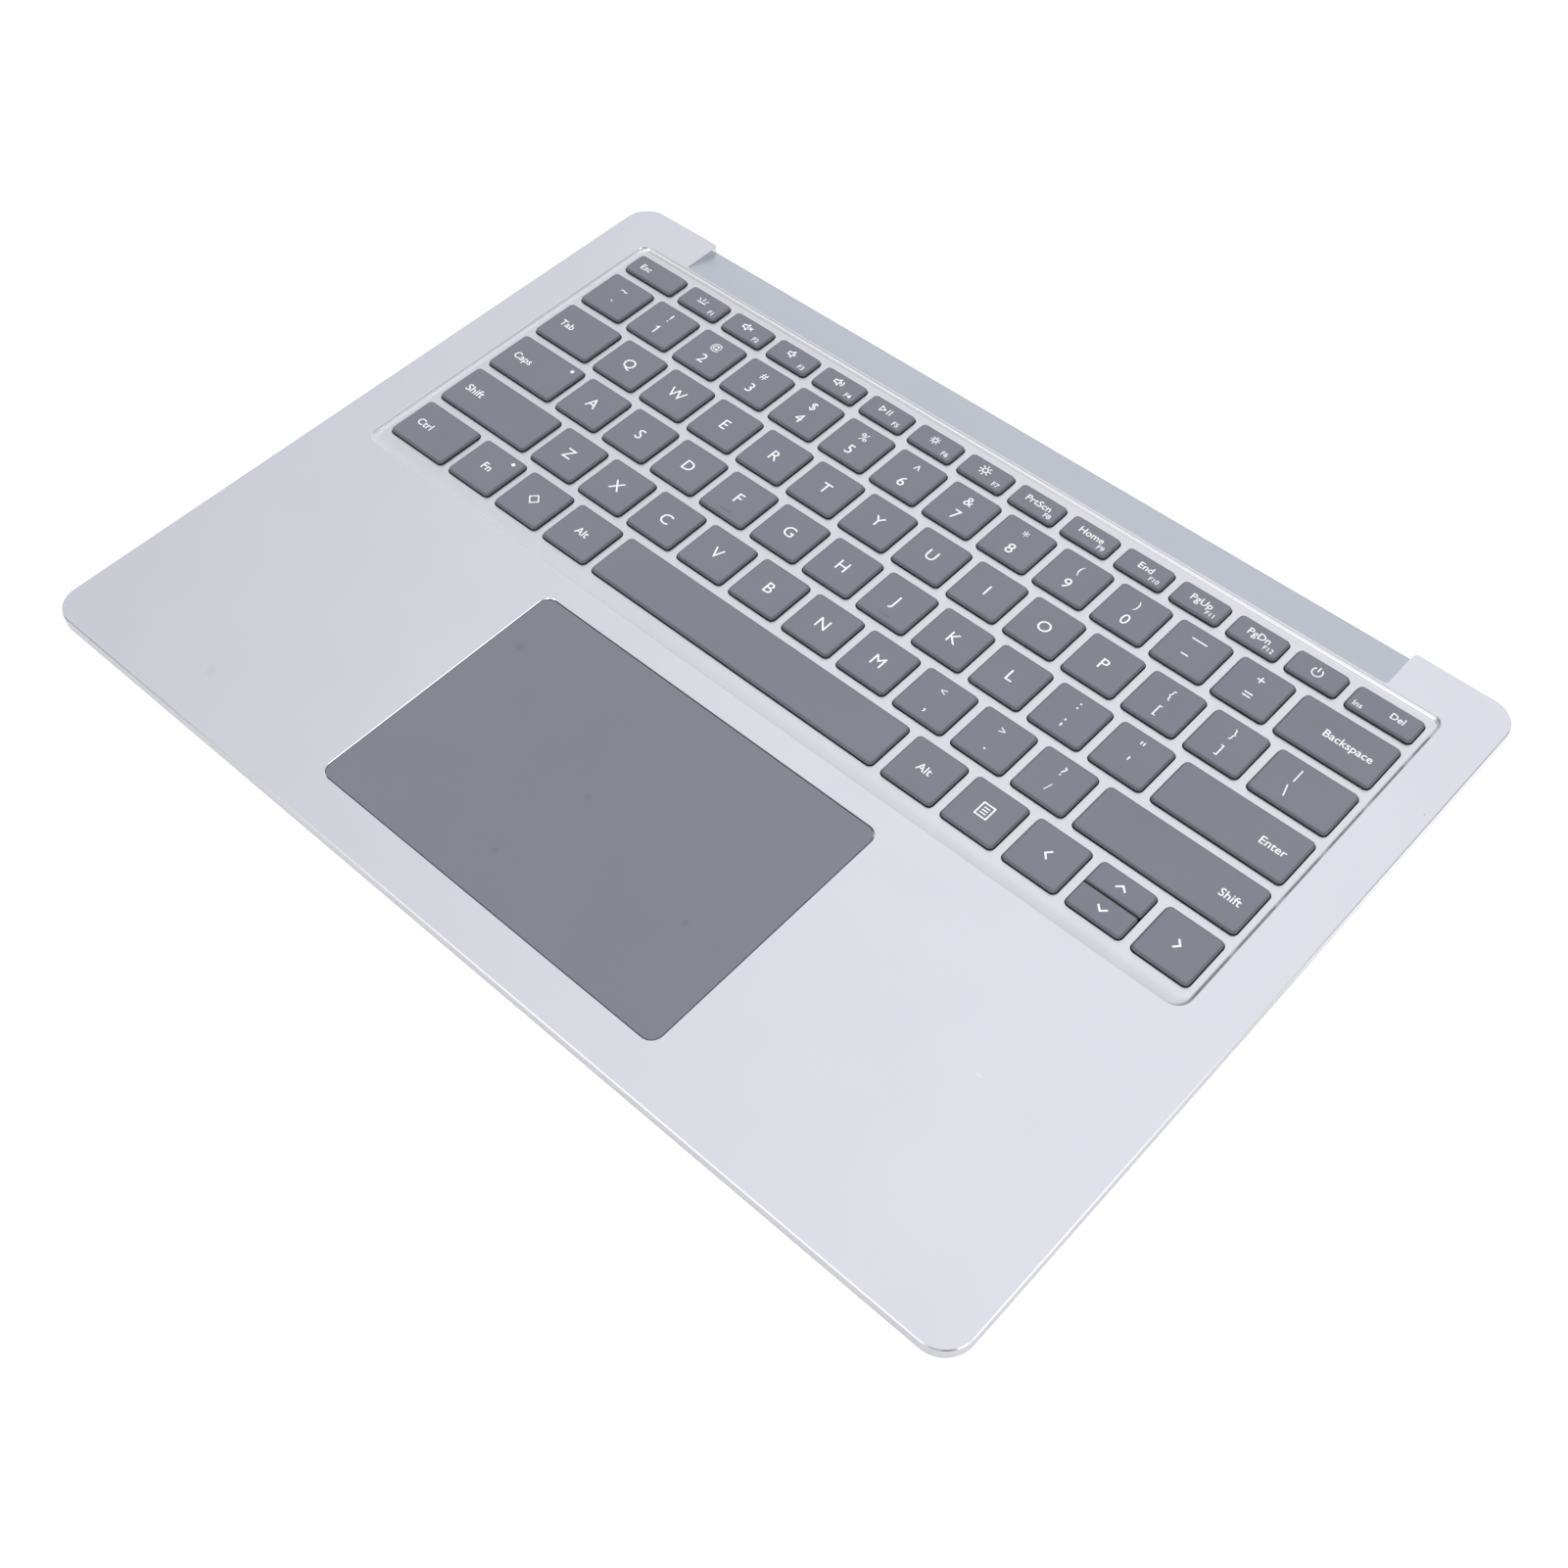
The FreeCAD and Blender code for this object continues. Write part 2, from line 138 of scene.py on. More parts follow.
soft_marks, given, made = texture_group("soft_marks", [("Spread", 30.0), ("Edge", 0.6)], ["Mask"])
place = add_node(soft_marks, "TexCoord")
patches = add_node(soft_marks, "TexNoise", {"Detail": 1.0})
fade = add_node(soft_marks, "MapRange", {"From Max": 0.85}, interpolation_type="SMOOTHSTEP")
join(
    soft_marks,
    (place, "Object", patches, "Vector"),
    (given, "Spread", patches, "Scale"),
    (patches, "Fac", fade, "Value"),
    (given, "Edge", fade, "From Min"),
    (fade, "Result", made, "Mask"),
)
print("groups", [g.name for g in bpy.data.node_groups])

# %% [markdown]
# A finish is a Principled shader whose colour runs between two near tones, whose roughness
# rises a little where hands have been, and whose surface has a faint grain. One helper
# builds that from a few numbers, so the finishes stay easy to compare.

# %% One helper for the finishes
HANDLED = (30.0, 0.6, 0.04)


def finish(name, dark, light, metal, rough, fineness, grain_depth, marks=HANDLED, coat=0.0):
    """A finish. The marks are their spread, their edge and how much roughness they add."""
    material = bpy.data.materials.new(name)
    material.use_nodes = True
    tree = material.node_tree
    shader = tree.nodes["Principled BSDF"]
    set_values(shader, {"Metallic": metal, "Coat Weight": coat, "Coat Roughness": 0.25})
    spread, edge, dulling = marks
    grain = add_node(tree, "Group", {"Fineness": fineness}, name="grain", node_tree=fine_grain)
    smudge = add_node(tree, "Group", {"Spread": spread, "Edge": edge}, node_tree=soft_marks)
    tone = add_node(tree, "Mix", {"A": (*dark, 1.0), "B": (*light, 1.0)}, data_type="RGBA")
    gloss = add_node(tree, "MapRange", {"To Min": rough, "To Max": rough + dulling})
    relief = add_node(tree, "Bump", {"Strength": 0.35, "Distance": grain_depth * MM})
    join(
        tree,
        (grain, "Tone", tone, "Factor"),
        (tone, "Result", shader, "Base Color"),
        (smudge, "Mask", gloss, "Value"),
        (gloss, "Result", shader, "Roughness"),
        (grain, "Height", relief, "Height"),
        (relief, "Normal", shader, "Normal"),
    )
    return material


print("a finish uses", fine_grain.name, "and", soft_marks.name)

# %% [markdown]
# A part that has been handled carries a few single marks: a pale scuff, a dark speck, faint
# fingertip spots. A third group gives one such spot. The grain of the finish breaks up its
# outline, so that it doesn't look stamped, and the base colour is tinted through the mask.

# %% Single marks
spot_mark, given, made = texture_group("spot_mark", [("Grain", 0.5)], ["Mask"], ["Place", "Reach"])
place = add_node(spot_mark, "TexCoord")
away = add_node(spot_mark, "VectorMath", operation="SUBTRACT")
shape = add_node(spot_mark, "VectorMath", operation="DIVIDE")
span = add_node(spot_mark, "VectorMath", operation="LENGTH")
rough_edge = add_node(spot_mark, "Math", operation="ADD")
fade = add_node(spot_mark, "MapRange", {"From Min": 1.5, "From Max": 0.7}, interpolation_type="SMOOTHSTEP")
join(
    spot_mark,
    (place, "Object", away, 0),
    (given, "Place", away, 1),
    (away, "Vector", shape, 0),
    (given, "Reach", shape, 1),
    (shape, "Vector", span, 0),
    (span, "Value", rough_edge, 0),
    (given, "Grain", rough_edge, 1),
    (rough_edge, "Value", fade, "Value"),
    (fade, "Result", made, "Mask"),
)


def add_marks(material, marks):
    """Tints a finish at single places. Lengths are in millimetres."""
    tree = material.node_tree
    base = tree.nodes["Principled BSDF"].inputs["Base Color"]
    for place, reach, colour in marks:
        lengths = {"Place": Vector(place) * MM, "Reach": Vector(reach) * MM}
        spot = add_node(tree, "Group", lengths, node_tree=spot_mark)
        tint = add_node(tree, "Mix", {"B": (*colour, 1.0)}, data_type="RGBA")
        join(tree, (tree.nodes["grain"], "Height", spot, "Grain"), (spot, "Mask", tint, "Factor"))
        tree.links.new(base.links[0].from_socket, tint.inputs["A"])
        tree.links.new(tint.outputs["Result"], base)


print("groups", [g.name for g in bpy.data.node_groups])

# %% [markdown]
# The case is blasted with fine beads and anodised silver, so it is a soft bright metal. Its edges are cut
# again with a diamond tool after that, which leaves a narrow polished line. The well and the sides are
# milled in other passes and get their own tone and gloss. The hinge strip gets a darker, bluer tone:
# painted shade for the dimmer light on its backward slope. The rear wall of the well and the walls beside
# the ears get a lighter tone, painted light, and a low roughness that sharpens their highlights.

# %% Metal finishes
BEADS = 2600.0
blasted = finish("blasted_aluminium", (0.84, 0.84, 0.92), (0.87, 0.87, 0.95), 1.0, 0.38, BEADS, 0.003)
well_metal = finish("milled_well", (0.84, 0.84, 0.90), (0.87, 0.87, 0.93), 1.0, 0.36, BEADS, 0.003)
# Darker, bluer strip tone: painted shade.
shaded_strip_metal = finish("hinge_strip_painted_shade", (0.62, 0.65, 0.725), (0.65, 0.68, 0.755), 1.0, 0.42, BEADS, 0.003)
side_metal = finish("side_aluminium", (0.76, 0.76, 0.79), (0.79, 0.79, 0.82), 1.0, 0.4, BEADS, 0.003)
# Lighter wall tone: painted light.
bright_wall_metal = finish("well_wall_painted_light", (0.90, 0.90, 0.94), (0.93, 0.93, 0.97), 1.0, 0.2, 1800.0, 0.001)
polished = finish("polished_edge", (0.90, 0.90, 0.92), (0.93, 0.93, 0.95), 1.0, 0.12, 900.0, 0.0005)
sheet_steel = finish("sheet_steel", (0.46, 0.46, 0.47), (0.54, 0.54, 0.55), 1.0, 0.36, 1500.0, 0.002)
scuff = ((116.8, -56.7, palm_level), (1.3, 0.5, 5.0), (0.95, 0.95, 0.98))
speck = ((151.7, 69.4, palm_level), (0.26, 0.26, 5.0), (0.45, 0.45, 0.48))
smudge = ((-103.6, -97.4, palm_level), (2.2, 2.2, 5.0), (0.81, 0.81, 0.89))
add_marks(blasted, [scuff, speck, smudge])
print("metals", blasted.name, polished.name, sheet_steel.name)

# %% [markdown]
# The keys are moulded plastic with a matt soft-touch lacquer, and their legends are printed in white.
# Their round edges and flanks get darker finishes: painted shade where the light falls off over the edge
# and down the sides. The touchpad is glass etched on its face and coloured from behind, so it shows almost
# the same grey with a smoother, slightly glossier skin.

# %% Plastic, print and glass finishes
lacquer = finish("key_lacquer", (0.252, 0.263, 0.316), (0.271, 0.284, 0.336), 0.0, 0.55, 3200.0, 0.006)
# The round edge and the flank are darker than the top: painted shade.
shaded_key_edge = finish("shaded_key_edge", (0.17, 0.177, 0.208), (0.185, 0.193, 0.226), 0.0, 0.32, 3200.0, 0.002)
shaded_key_flank = finish("shaded_key_flank", (0.035, 0.035, 0.039), (0.045, 0.045, 0.05), 0.0, 0.6, 2400.0, 0.004)
glowing_print = finish("white_print_painted_glow", (0.86, 0.86, 0.88), (0.92, 0.92, 0.93), 0.0, 0.6, 2000.0, 0.001)
ink = glowing_print.node_tree.nodes["Principled BSDF"]
WHITE = (1.0, 1.0, 1.0, 1.0)
# A faint white glow on the print: painted light that brightens the legends.
set_values(ink, {"Emission Color": WHITE, "Emission Strength": 0.3})
cap_finishes = [lacquer, glowing_print, shaded_key_flank, shaded_key_edge]
LACQUER, PRINT, FLANK, EDGE = range(len(cap_finishes))
smeared = (22.0, 0.5, 0.1)
satin_glass = finish(
    "satin_glass", (0.246, 0.260, 0.319), (0.262, 0.277, 0.337), 0.0, 0.42, 5000.0, 0.001, smeared, 0.25
)
touch = (0.227, 0.240, 0.296)
touches = [(-50.4, -39.0, 2.0), (-2.4, -61.1, 1.5), (-7.8, -86.9, 1.0), (40.6, -71.2, 1.3)]
add_marks(satin_glass, [((x, y, palm_level), (reach, reach, 5.0), touch) for x, y, reach in touches])
print("plastics", lacquer.name, glowing_print.name, satin_glass.name)

# %% [markdown]
# Under the keys lie the layers that make them work. The films, the board, the switch and the bracket stay
# as the imported solids and get dark film, board green, black and steel. The black of the films is painted
# shade for the deep gaps round the keys. With the film known, the finishes of the case can be listed: each
# of its faces names one by number.

# %% Finishes of the hidden layers
# Black film: painted shade for the deep gaps round the keys.
black_shade_film = finish("black_film_painted_shade", (0.012, 0.012, 0.013), (0.02, 0.02, 0.021), 0.0, 0.5, 800.0, 0.002)
# Near-black domes and links: painted shade for the dark gaps round the keys.
dome_rubber_painted_shade = finish("dome_rubber_painted_shade", (0.03, 0.03, 0.032), (0.05, 0.05, 0.052), 0.0, 0.6, 900.0, 0.002)
link_nylon_painted_shade = finish("link_nylon_painted_shade", (0.02, 0.02, 0.022), (0.035, 0.035, 0.037), 0.0, 0.45, 1200.0, 0.002)
solder_mask = finish("solder_mask", (0.012, 0.06, 0.035), (0.02, 0.085, 0.05), 0.0, 0.35, 700.0, 0.004)
switch_black = finish("switch_black", (0.02, 0.02, 0.02), (0.035, 0.035, 0.035), 0.0, 0.5, 1500.0, 0.003)
case_finishes = [blasted, polished, black_shade_film, well_metal, shaded_strip_metal, side_metal, bright_wall_metal]
PALM, SHINY, SHADE_BLACK, WELL, SHADED_STRIP, SIDE, BRIGHT_WALL = range(len(case_finishes))
layer_finish = {
    "membrane_sheet": black_shade_film,
    "backlight_sheet": black_shade_film,
    "touchpad_board": solder_mask,
    "touchpad_switch": switch_black,
    "touchpad_bracket": sheet_steel,
}
for name, material in layer_finish.items():
    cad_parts[name].data.materials.clear()
    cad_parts[name].data.materials.append(material)
print("dressed", sorted(layer_finish))

# %% [markdown]
# A few small helpers make almost every piece. A flat face with round corners is four
# vertices, one face, and a bevel of its vertices. Drawing it out gives a plate, and a bevel
# of its edges softens it. The last helper turns a bmesh into an object that rides on a body:
# it merges doubles, turns faces outwards, brings millimetres to metres, and shades broad
# flats flat and small rounds smooth.

# %% Helpers for flat faces and finished pieces
MERGE = 0.0005
CREASE = math.radians(34)


def round_corners(bm, verts, radius, steps):
    bmesh.ops.bevel(
        bm, geom=verts, offset=radius, affect="VERTICES", segments=steps, profile=0.5, material=-1
    )


def flat_face(bm, x0, x1, y0, y1, z, front_radius, rear_radius=None, steps=5):
    """A flat face with round corners, looking up."""
    others = set(bm.faces)
    corners = [bm.verts.new((x, y, z)) for x, y in ((x0, y0), (x1, y0), (x1, y1), (x0, y1))]
    bm.faces.new(corners)
    round_corners(bm, corners[:2], front_radius, steps)
    round_corners(bm, corners[2:], rear_radius or front_radius, steps)
    return next(f for f in bm.faces if f not in others)


def draw_out(bm, faces, move):
    """Extrudes faces along a vector. Returns the moved vertices and the first moved face."""
    made = bmesh.ops.extrude_face_region(bm, geom=faces)["geom"]
    verts = [item for item in made if isinstance(item, bmesh.types.BMVert)]
    bmesh.ops.translate(bm, vec=move, verts=verts)
    return verts, next(item for item in made if isinstance(item, bmesh.types.BMFace))


def soften(bm, edges, width, steps, material=0):
    """Bevels edges and gives the new faces a finish."""
    made = bmesh.ops.bevel(
        bm, geom=edges, offset=width, affect="EDGES", segments=steps, profile=0.5, material=-1
    )
    for face in made["faces"]:
        face.material_index = material


def finished(bm, name, body, materials, replaced=(), flat_area=20.0):
    """Makes the object. Level faces of at least flat_area, in square millimetres, stay flat."""
    bmesh.ops.remove_doubles(bm, verts=bm.verts[:], dist=MERGE)
    bmesh.ops.recalc_face_normals(bm, faces=bm.faces[:])
    bm.normal_update()
    smooth = [abs(face.normal.z) < 0.9999 or face.calc_area() < flat_area for face in bm.faces]
    bmesh.ops.scale(bm, vec=(MM, MM, MM), verts=bm.verts[:])
    mesh = bpy.data.meshes.new(name)
    bm.to_mesh(mesh)
    bm.free()
    mesh.set_sharp_from_angle(angle=CREASE)
    mesh.polygons.foreach_set("use_smooth", smooth)
    for material in materials:
        mesh.materials.append(material)
    piece = bpy.data.objects.new(name, mesh)
    bpy.context.scene.collection.objects.link(piece)
    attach(piece, body)
    if replaced:
        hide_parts(*replaced)
    return piece


print("doubles merge within", MERGE, "mm")

# %% [markdown]
# The keys stand in six rows. The four front rows are nodes of their own, so their places are
# read from the model. The function and number rows are fused to the carrier plate there,
# and are laid out again here from their pitch.

# %% Places of the keys
row_half = 137.3
key_pitch = 19.0
key_width = 15.95
number_row = (67.25, 82.65)
function_row = (85.95, 93.95)
function_pitch = 17.97
function_width = 15.0
function_left = -115.32
end_key_inner = 118.29
backspace_left = 109.7
rear_keys = {
    "esc": (-row_half, -end_key_inner, *function_row),
    "delete": (end_key_inner, row_half, *function_row),
}
for i, name in enumerate(["f" + str(n) for n in range(1, 13)] + ["power"]):
    left = function_left + function_pitch * i
    rear_keys[name] = (left, left + function_width, *function_row)
for i, name in enumerate(["grave", *"1234567890", "minus", "equals"]):
    left = -row_half + key_pitch * i
    rear_keys[name] = (left, left + key_width, *number_row)
rear_keys["backspace"] = (backspace_left, row_half, *number_row)

front_keys = {}
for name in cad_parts:
    if name.startswith("key_") and name != "key_domes":
        low, high = node_box(name)
        front_keys[name[4:]] = (low.x + skirt, high.x - skirt, low.y + skirt, high.y - skirt)
print(len(rear_keys), "rear keys,", len(front_keys), "front keys")

# %% [markdown]
# The top case is cut from one plate. It could be modelled as a box with boolean cuts, but
# booleans leave ragged edges that no bevel likes. Here each opening is drawn as rings that
# are bridged into walls, and the flat skins between the rings are filled last, so each edge
# gets a clean radius. First comes the outline: eight corners, rounded by vertex bevels, with
# the hinge notch between two ears, drawn down to the floor and chamfered.

# %% Outline of the case
notch_half = 122.9
notch_front = 98.25
case_corner = 8.0
ear_corner = 1.2
notch_corner = 1.1
rim_chamfer = 0.28
notch_chamfer = 0.12
foot_chamfer = 0.2
case = bmesh.new()
plan = [
    (-half_width, -half_depth),
    (half_width, -half_depth),
    (half_width, half_depth),
    (notch_half, half_depth),
    (notch_half, notch_front),
    (-notch_half, notch_front),
    (-notch_half, half_depth),
    (-half_width, half_depth),
]
corners = [case.verts.new((x, y, palm_level)) for x, y in plan]
case.faces.new(corners)
round_corners(case, [corners[i] for i in (0, 1, 2, 7)], case_corner, 14)
round_corners(case, [corners[i] for i in (3, 6)], ear_corner, 5)
round_corners(case, [corners[i] for i in (4, 5)], notch_corner, 6)
draw_out(case, case.faces[:], (0, 0, -palm_level))


def edges_at(bm, z):
    return [e for e in bm.edges if all(abs(v.co.z - z) < 1e-4 for v in e.verts)]


def in_notch(edge):
    reach = notch_half + ear_corner + 0.1
    return all(abs(v.co.x) < reach and v.co.y > notch_front - 0.001 for v in edge.verts)


rim = [e for e in edges_at(case, palm_level) if not in_notch(e)]
soften(case, rim, rim_chamfer, 1, SHINY)
rim = [e for e in edges_at(case, palm_level) if in_notch(e)]
soften(case, rim, notch_chamfer, 1, SHINY)
soften(case, edges_at(case, 0.0), foot_chamfer, 1, SIDE)
case.normal_update()
# Upright faces take the side finish, and those between the ears take the lighter wall finish: painted
# light.
for face in case.faces:
    if abs(face.normal.z) < 0.01:
        between_ears = abs(face.calc_center_median().x) < notch_half + 0.1
        face.material_index = BRIGHT_WALL if between_ears and abs(face.normal.x) > 0.9 else SIDE
print("outline", len(case.verts), "vertices")

# %% [markdown]
# The broad top and bottom faces now make way for skins with openings. A ring is a flat face
# that keeps only its edges, and bridge_loops spans the wall between two rings.

# %% Rings and walls
def ring(bm, x0, x1, y0, y1, z, front_radius, rear_radius=None, steps=5):
    face = flat_face(bm, x0, x1, y0, y1, z, front_radius, rear_radius, steps)
    edges = list(face.edges)
    bmesh.ops.delete(bm, geom=[face], context="FACES_ONLY")
    return edges


def wall(bm, rings, material=0):
    """Spans the walls between rings that follow each other."""
    for one, other in zip(rings, rings[1:]):
        made = bmesh.ops.bridge_loops(bm, edges=one + other)
        for face in made["faces"]:
            face.material_index = material


def opened(bm, z):
    """Takes the broad face at a level away and returns its edges."""
    level = [f for f in bm.faces if abs(f.calc_center_median().z - z) < 1e-4]
    face = max(level, key=lambda f: f.calc_area())
    edges = list(face.edges)
    bmesh.ops.delete(bm, geom=[face], context="FACES_ONLY")
    return edges


def skin(bm, edges, material=0):
    made = bmesh.ops.triangle_fill(bm, edges=edges, use_beauty=True, use_dissolve=False, normal=(0, 0, 1))
    for item in made["geom"]:
        if isinstance(item, bmesh.types.BMFace):
            item.material_index = material


top_skin = opened(case, palm_level)
bottom_skin = opened(case, 0.0)
print("skins", len(top_skin), len(bottom_skin))

# %% [markdown]
# The keyboard well is milled with a round-nosed cutter: its walls meet the palm in a crisp
# line and run out into the floor in a hollow curve, short at the sides and rear and wide at
# the front, where it makes a ramp for the thumbs. Each ring goes a step inwards from the
# mouth to the floor, and its depth follows a parabola, which gives that hollow curve.

# %% Keyboard well
well_depth = 1.2
web_level = palm_level - well_depth
web_underside = 2.1
mouth = (-140.4, 140.4, -14.25, 97.55)
runs = (1.2, -1.2, 4.5, -1.2)
mouth_corner = (4.5, 3.0)
floor_corner = 1.6
lip = 0.12
lip_depth = 0.06
rear_wall_front = 95.0


def well_ring(u):
    """The ring at a share u of the way from the mouth to the floor."""
    x0, x1, y0, y1 = (edge + run * u for edge, run in zip(mouth, runs))
    front, rear = (corner + (floor_corner - corner) * u for corner in mouth_corner)
    depth = lip_depth + (well_depth - lip_depth) * (1 - (1 - u) ** 2)
    return ring(case, x0, x1, y0, y1, palm_level - depth, front, rear, 8)


x0, x1, y0, y1 = mouth
front, rear = mouth_corner
lip_ring = ring(case, x0 - lip, x1 + lip, y0 - lip, y1 + lip, palm_level, front + lip, rear + lip, 8)
well_rings = [well_ring(u) for u in (0.0, 0.06, 0.14, 0.24, 0.36, 0.5, 0.66, 0.83, 1.0)]
wall(case, [lip_ring, well_rings[0]], SHINY)
wall(case, well_rings, WELL)
# The rear wall of the well takes the lighter wall finish: painted light.
for face in case.faces:
    if face.material_index == WELL and face.calc_center_median().y > rear_wall_front:
        face.material_index = BRIGHT_WALL
print("well", len(well_rings), "rings deep")

# %% [markdown]
# The web between the keys has one opening for each key, and the two half arrow keys share one. A tiny
# polished chamfer on each opening draws the thin bright lines round the keys, and the walls below it are
# black: painted shade for the deep gaps round the keys.

# %% Openings of the web
clearance = 0.22
glint = 0.18
key_corner = 1.2
openings = dict(rear_keys)
openings.update(front_keys)
up = openings.pop("arrow_up")
down = openings.pop("arrow_down")
openings["arrow_pair"] = (up[0], up[1], down[2], up[3])
web_top = list(well_rings[-1])
web_bottom = []
for x0, x1, y0, y1 in openings.values():
    grown = []
    for grow, z in ((glint, web_level), (0, web_level - glint), (0, web_underside)):
        g = clearance + grow
        grown.append(ring(case, x0 - g, x1 + g, y0 - g, y1 + g, z, key_corner + g))
    wall(case, grown[:2], SHINY)
    # Below the chamfer the walls are black: painted shade.
    wall(case, grown[1:], SHADE_BLACK)
    web_top += grown[0]
    web_bottom += grown[2]
skin(case, web_top, WELL)
print("web", len(openings), "openings")

# %% [markdown]
# The touchpad drops into its own opening, with a bright chamfer round it. With the well and
# this opening drawn, the palm skin is filled between them and the rim.

# %% Touchpad opening and palm skin
pad_low, pad_high = node_box("touchpad_glass")
pad_corner = 3.2
pad_gap = 0.14
pad_chamfer = (0.18, 0.15)
palm_underside = 3.1
hinge_gap = 0.12
rings = []
for grow, z in (
    (pad_gap + pad_chamfer[0], palm_level),
    (pad_gap, palm_level - pad_chamfer[1]),
    (pad_gap, palm_underside),
):
    x0, x1 = pad_low.x - grow, pad_high.x + grow
    y0, y1 = pad_low.y - grow, pad_high.y + grow + hinge_gap
    rings.append(ring(case, x0, x1, y0, y1, z, pad_corner + grow, None, 8))
wall(case, rings[:2], SHINY)
# Below the chamfer the walls are black: painted shade.
wall(case, rings[1:], SHADE_BLACK)
skin(case, top_skin + lip_ring + rings[0], PALM)
palm_bottom = list(rings[2])
print("touchpad", [round(v, 2) for v in pad_high - pad_low])

# %% [markdown]
# The underside is pocketed to save weight: a bay for the keyboard with a ledge that its
# carrier plate seats against, a wide pocket under the palms with posts for the bottom cover
# and pads for the touchpad bracket, and small pockets at the sides and in the ears.

# %% Pockets of the underside
plate_top = 0.95
bay_mouth = (-141.0, 141.0, -12.0, 97.2)
bay_ledge = (-138.9, 138.9, -9.15, 95.55)
post_radius = 2.5
post_x = 145.0
post_y = 102.85
hole_radius = 0.8
hole_depth = 2.0
pad_x = (59.3, 63.9)
pad_y = (-83.6, -35.6)
pad_bottom = 1.7
palm_span = (-152.8, 152.8, -110.65, -15.0)
side_x = (142.6, 152.6)
ear_x = (125.0, 152.3)
ear_y = (99.4, 110.3)
bay = [
    ring(case, *bay_mouth, 0.0, 2.0),
    ring(case, *bay_mouth, plate_top, 2.0),
    ring(case, *bay_ledge, plate_top, 1.0),
    ring(case, *bay_ledge, web_underside, 1.0),
]
wall(case, bay)
skin(case, web_bottom + bay[-1])
bottom_skin += bay[0]


def pocket(x0, x1, y0, y1, front_radius, rear_radius):
    pair = [ring(case, x0, x1, y0, y1, z, front_radius, rear_radius) for z in (0.0, palm_underside)]
    wall(case, pair)
    bottom_skin.extend(pair[0])
    return pair[1]


def disc_ring(bm, x, y, z, radius, share=0.999):
    """A ring that is all corners. They stop a hair short of each other, so no side is lost."""
    return ring(bm, x - radius, x + radius, y - radius, y + radius, z, radius * share)


def long_pad(x0, x1, y0, y1):
    """A pad under a pocket's ceiling."""
    rings = [ring(case, x0, x1, y0, y1, z, 0.6) for z in (palm_underside, pad_bottom)]
    wall(case, rings)
    bmesh.ops.contextual_create(case, geom=rings[-1])
    return rings[0]


def screw_post(x, y):
    """A round post for a cover screw, with a blind hole."""
    rings = [disc_ring(case, x, y, z, post_radius, 0.9996) for z in (palm_underside, 0.0)]
    rings += [disc_ring(case, x, y, z, hole_radius) for z in (0.0, hole_depth)]
    wall(case, rings)
    bmesh.ops.contextual_create(case, geom=rings[-1])
    return rings[0]


palm_pocket = palm_bottom + pocket(*palm_span, 6.8, 2.0)
for side in (-1, 1):
    palm_pocket += screw_post(side * post_x, -post_y)
    palm_pocket += long_pad(*sorted(side * x for x in pad_x), *pad_y)
skin(case, palm_pocket)
for side in (-1, 1):
    skin(case, pocket(*sorted(side * x for x in side_x), *bay_mouth[2:], 1.5, 1.5))
    ear = pocket(*sorted(side * x for x in ear_x), *ear_y, 1.5, 5.2)
    skin(case, ear + screw_post(side * post_x, post_y))
skin(case, bottom_skin)
print("case", len(case.faces), "faces")

# %% [markdown]
# Behind the well, a strip falls away to the rear so that the lid's hinge cover can turn over
# it. It is a closed wedge between the ears: a profile of five points, drawn along the width.

# %% Hinge strip
strip_front = 98.0
strip_rear = 111.5
strip_top = 3.95
strip_edge = 1.8
strip_half = notch_half + 0.05
profile = [(strip_front, 0.0), (strip_front, strip_top), (notch_front, strip_top)]
profile += [(strip_rear, strip_edge), (strip_rear, 0.0)]
end = case.faces.new([case.verts.new((-strip_half, y, z)) for y, z in profile])
draw_out(case, [end], (2 * strip_half, 0, 0))


def on_rear_edge(vert):
    return abs(vert.co.y - strip_rear) < 1e-4 and abs(vert.co.z - strip_edge) < 1e-4


def on_strip(vert):
    behind = vert.co.y > notch_front - 0.3
    return behind and abs(vert.co.x) < strip_half + 0.05 and vert.co.z < strip_top + 0.01


soften(case, [e for e in case.edges if all(map(on_rear_edge, e.verts))], 0.35, 3)
# The strip's faces take the darker, bluer finish: painted shade.
for face in case.faces:
    if all(map(on_strip, face.verts)):
        face.material_index = SHADED_STRIP
top_case = finished(case, "top_case_shell", "case", case_finishes, ["top_case"], 0.0)
print("top case", len(top_case.data.polygons), "faces")

# %% [markdown]
# Legends are printed flat on the keys. Text could be drawn in a texture, but a thin mesh
# keeps its edges sharp at any distance. Blender's own plain font gives the letters, with a
# hair of thickness, and they are set on the key's top.

# %% Letters
CAP_HEIGHT = 0.682
INK = 0.02


def turn_slivers(mesh):
    """A crossbar can leave triangles with no area. Turning their longest edge gives them one."""
    letters = bmesh.new()
    letters.from_mesh(mesh)
    bmesh.ops.remove_doubles(letters, verts=letters.verts[:], dist=MERGE)
    for _ in range(len(letters.faces)):
        thin = next((f for f in letters.faces if f.calc_area() < 1e-6), None)
        if not thin:
            break
        longest = max(thin.edges, key=lambda e: e.calc_length())
        bmesh.ops.rotate_edges(letters, edges=[longest], use_ccw=False)
    letters.to_mesh(mesh)
    letters.free()


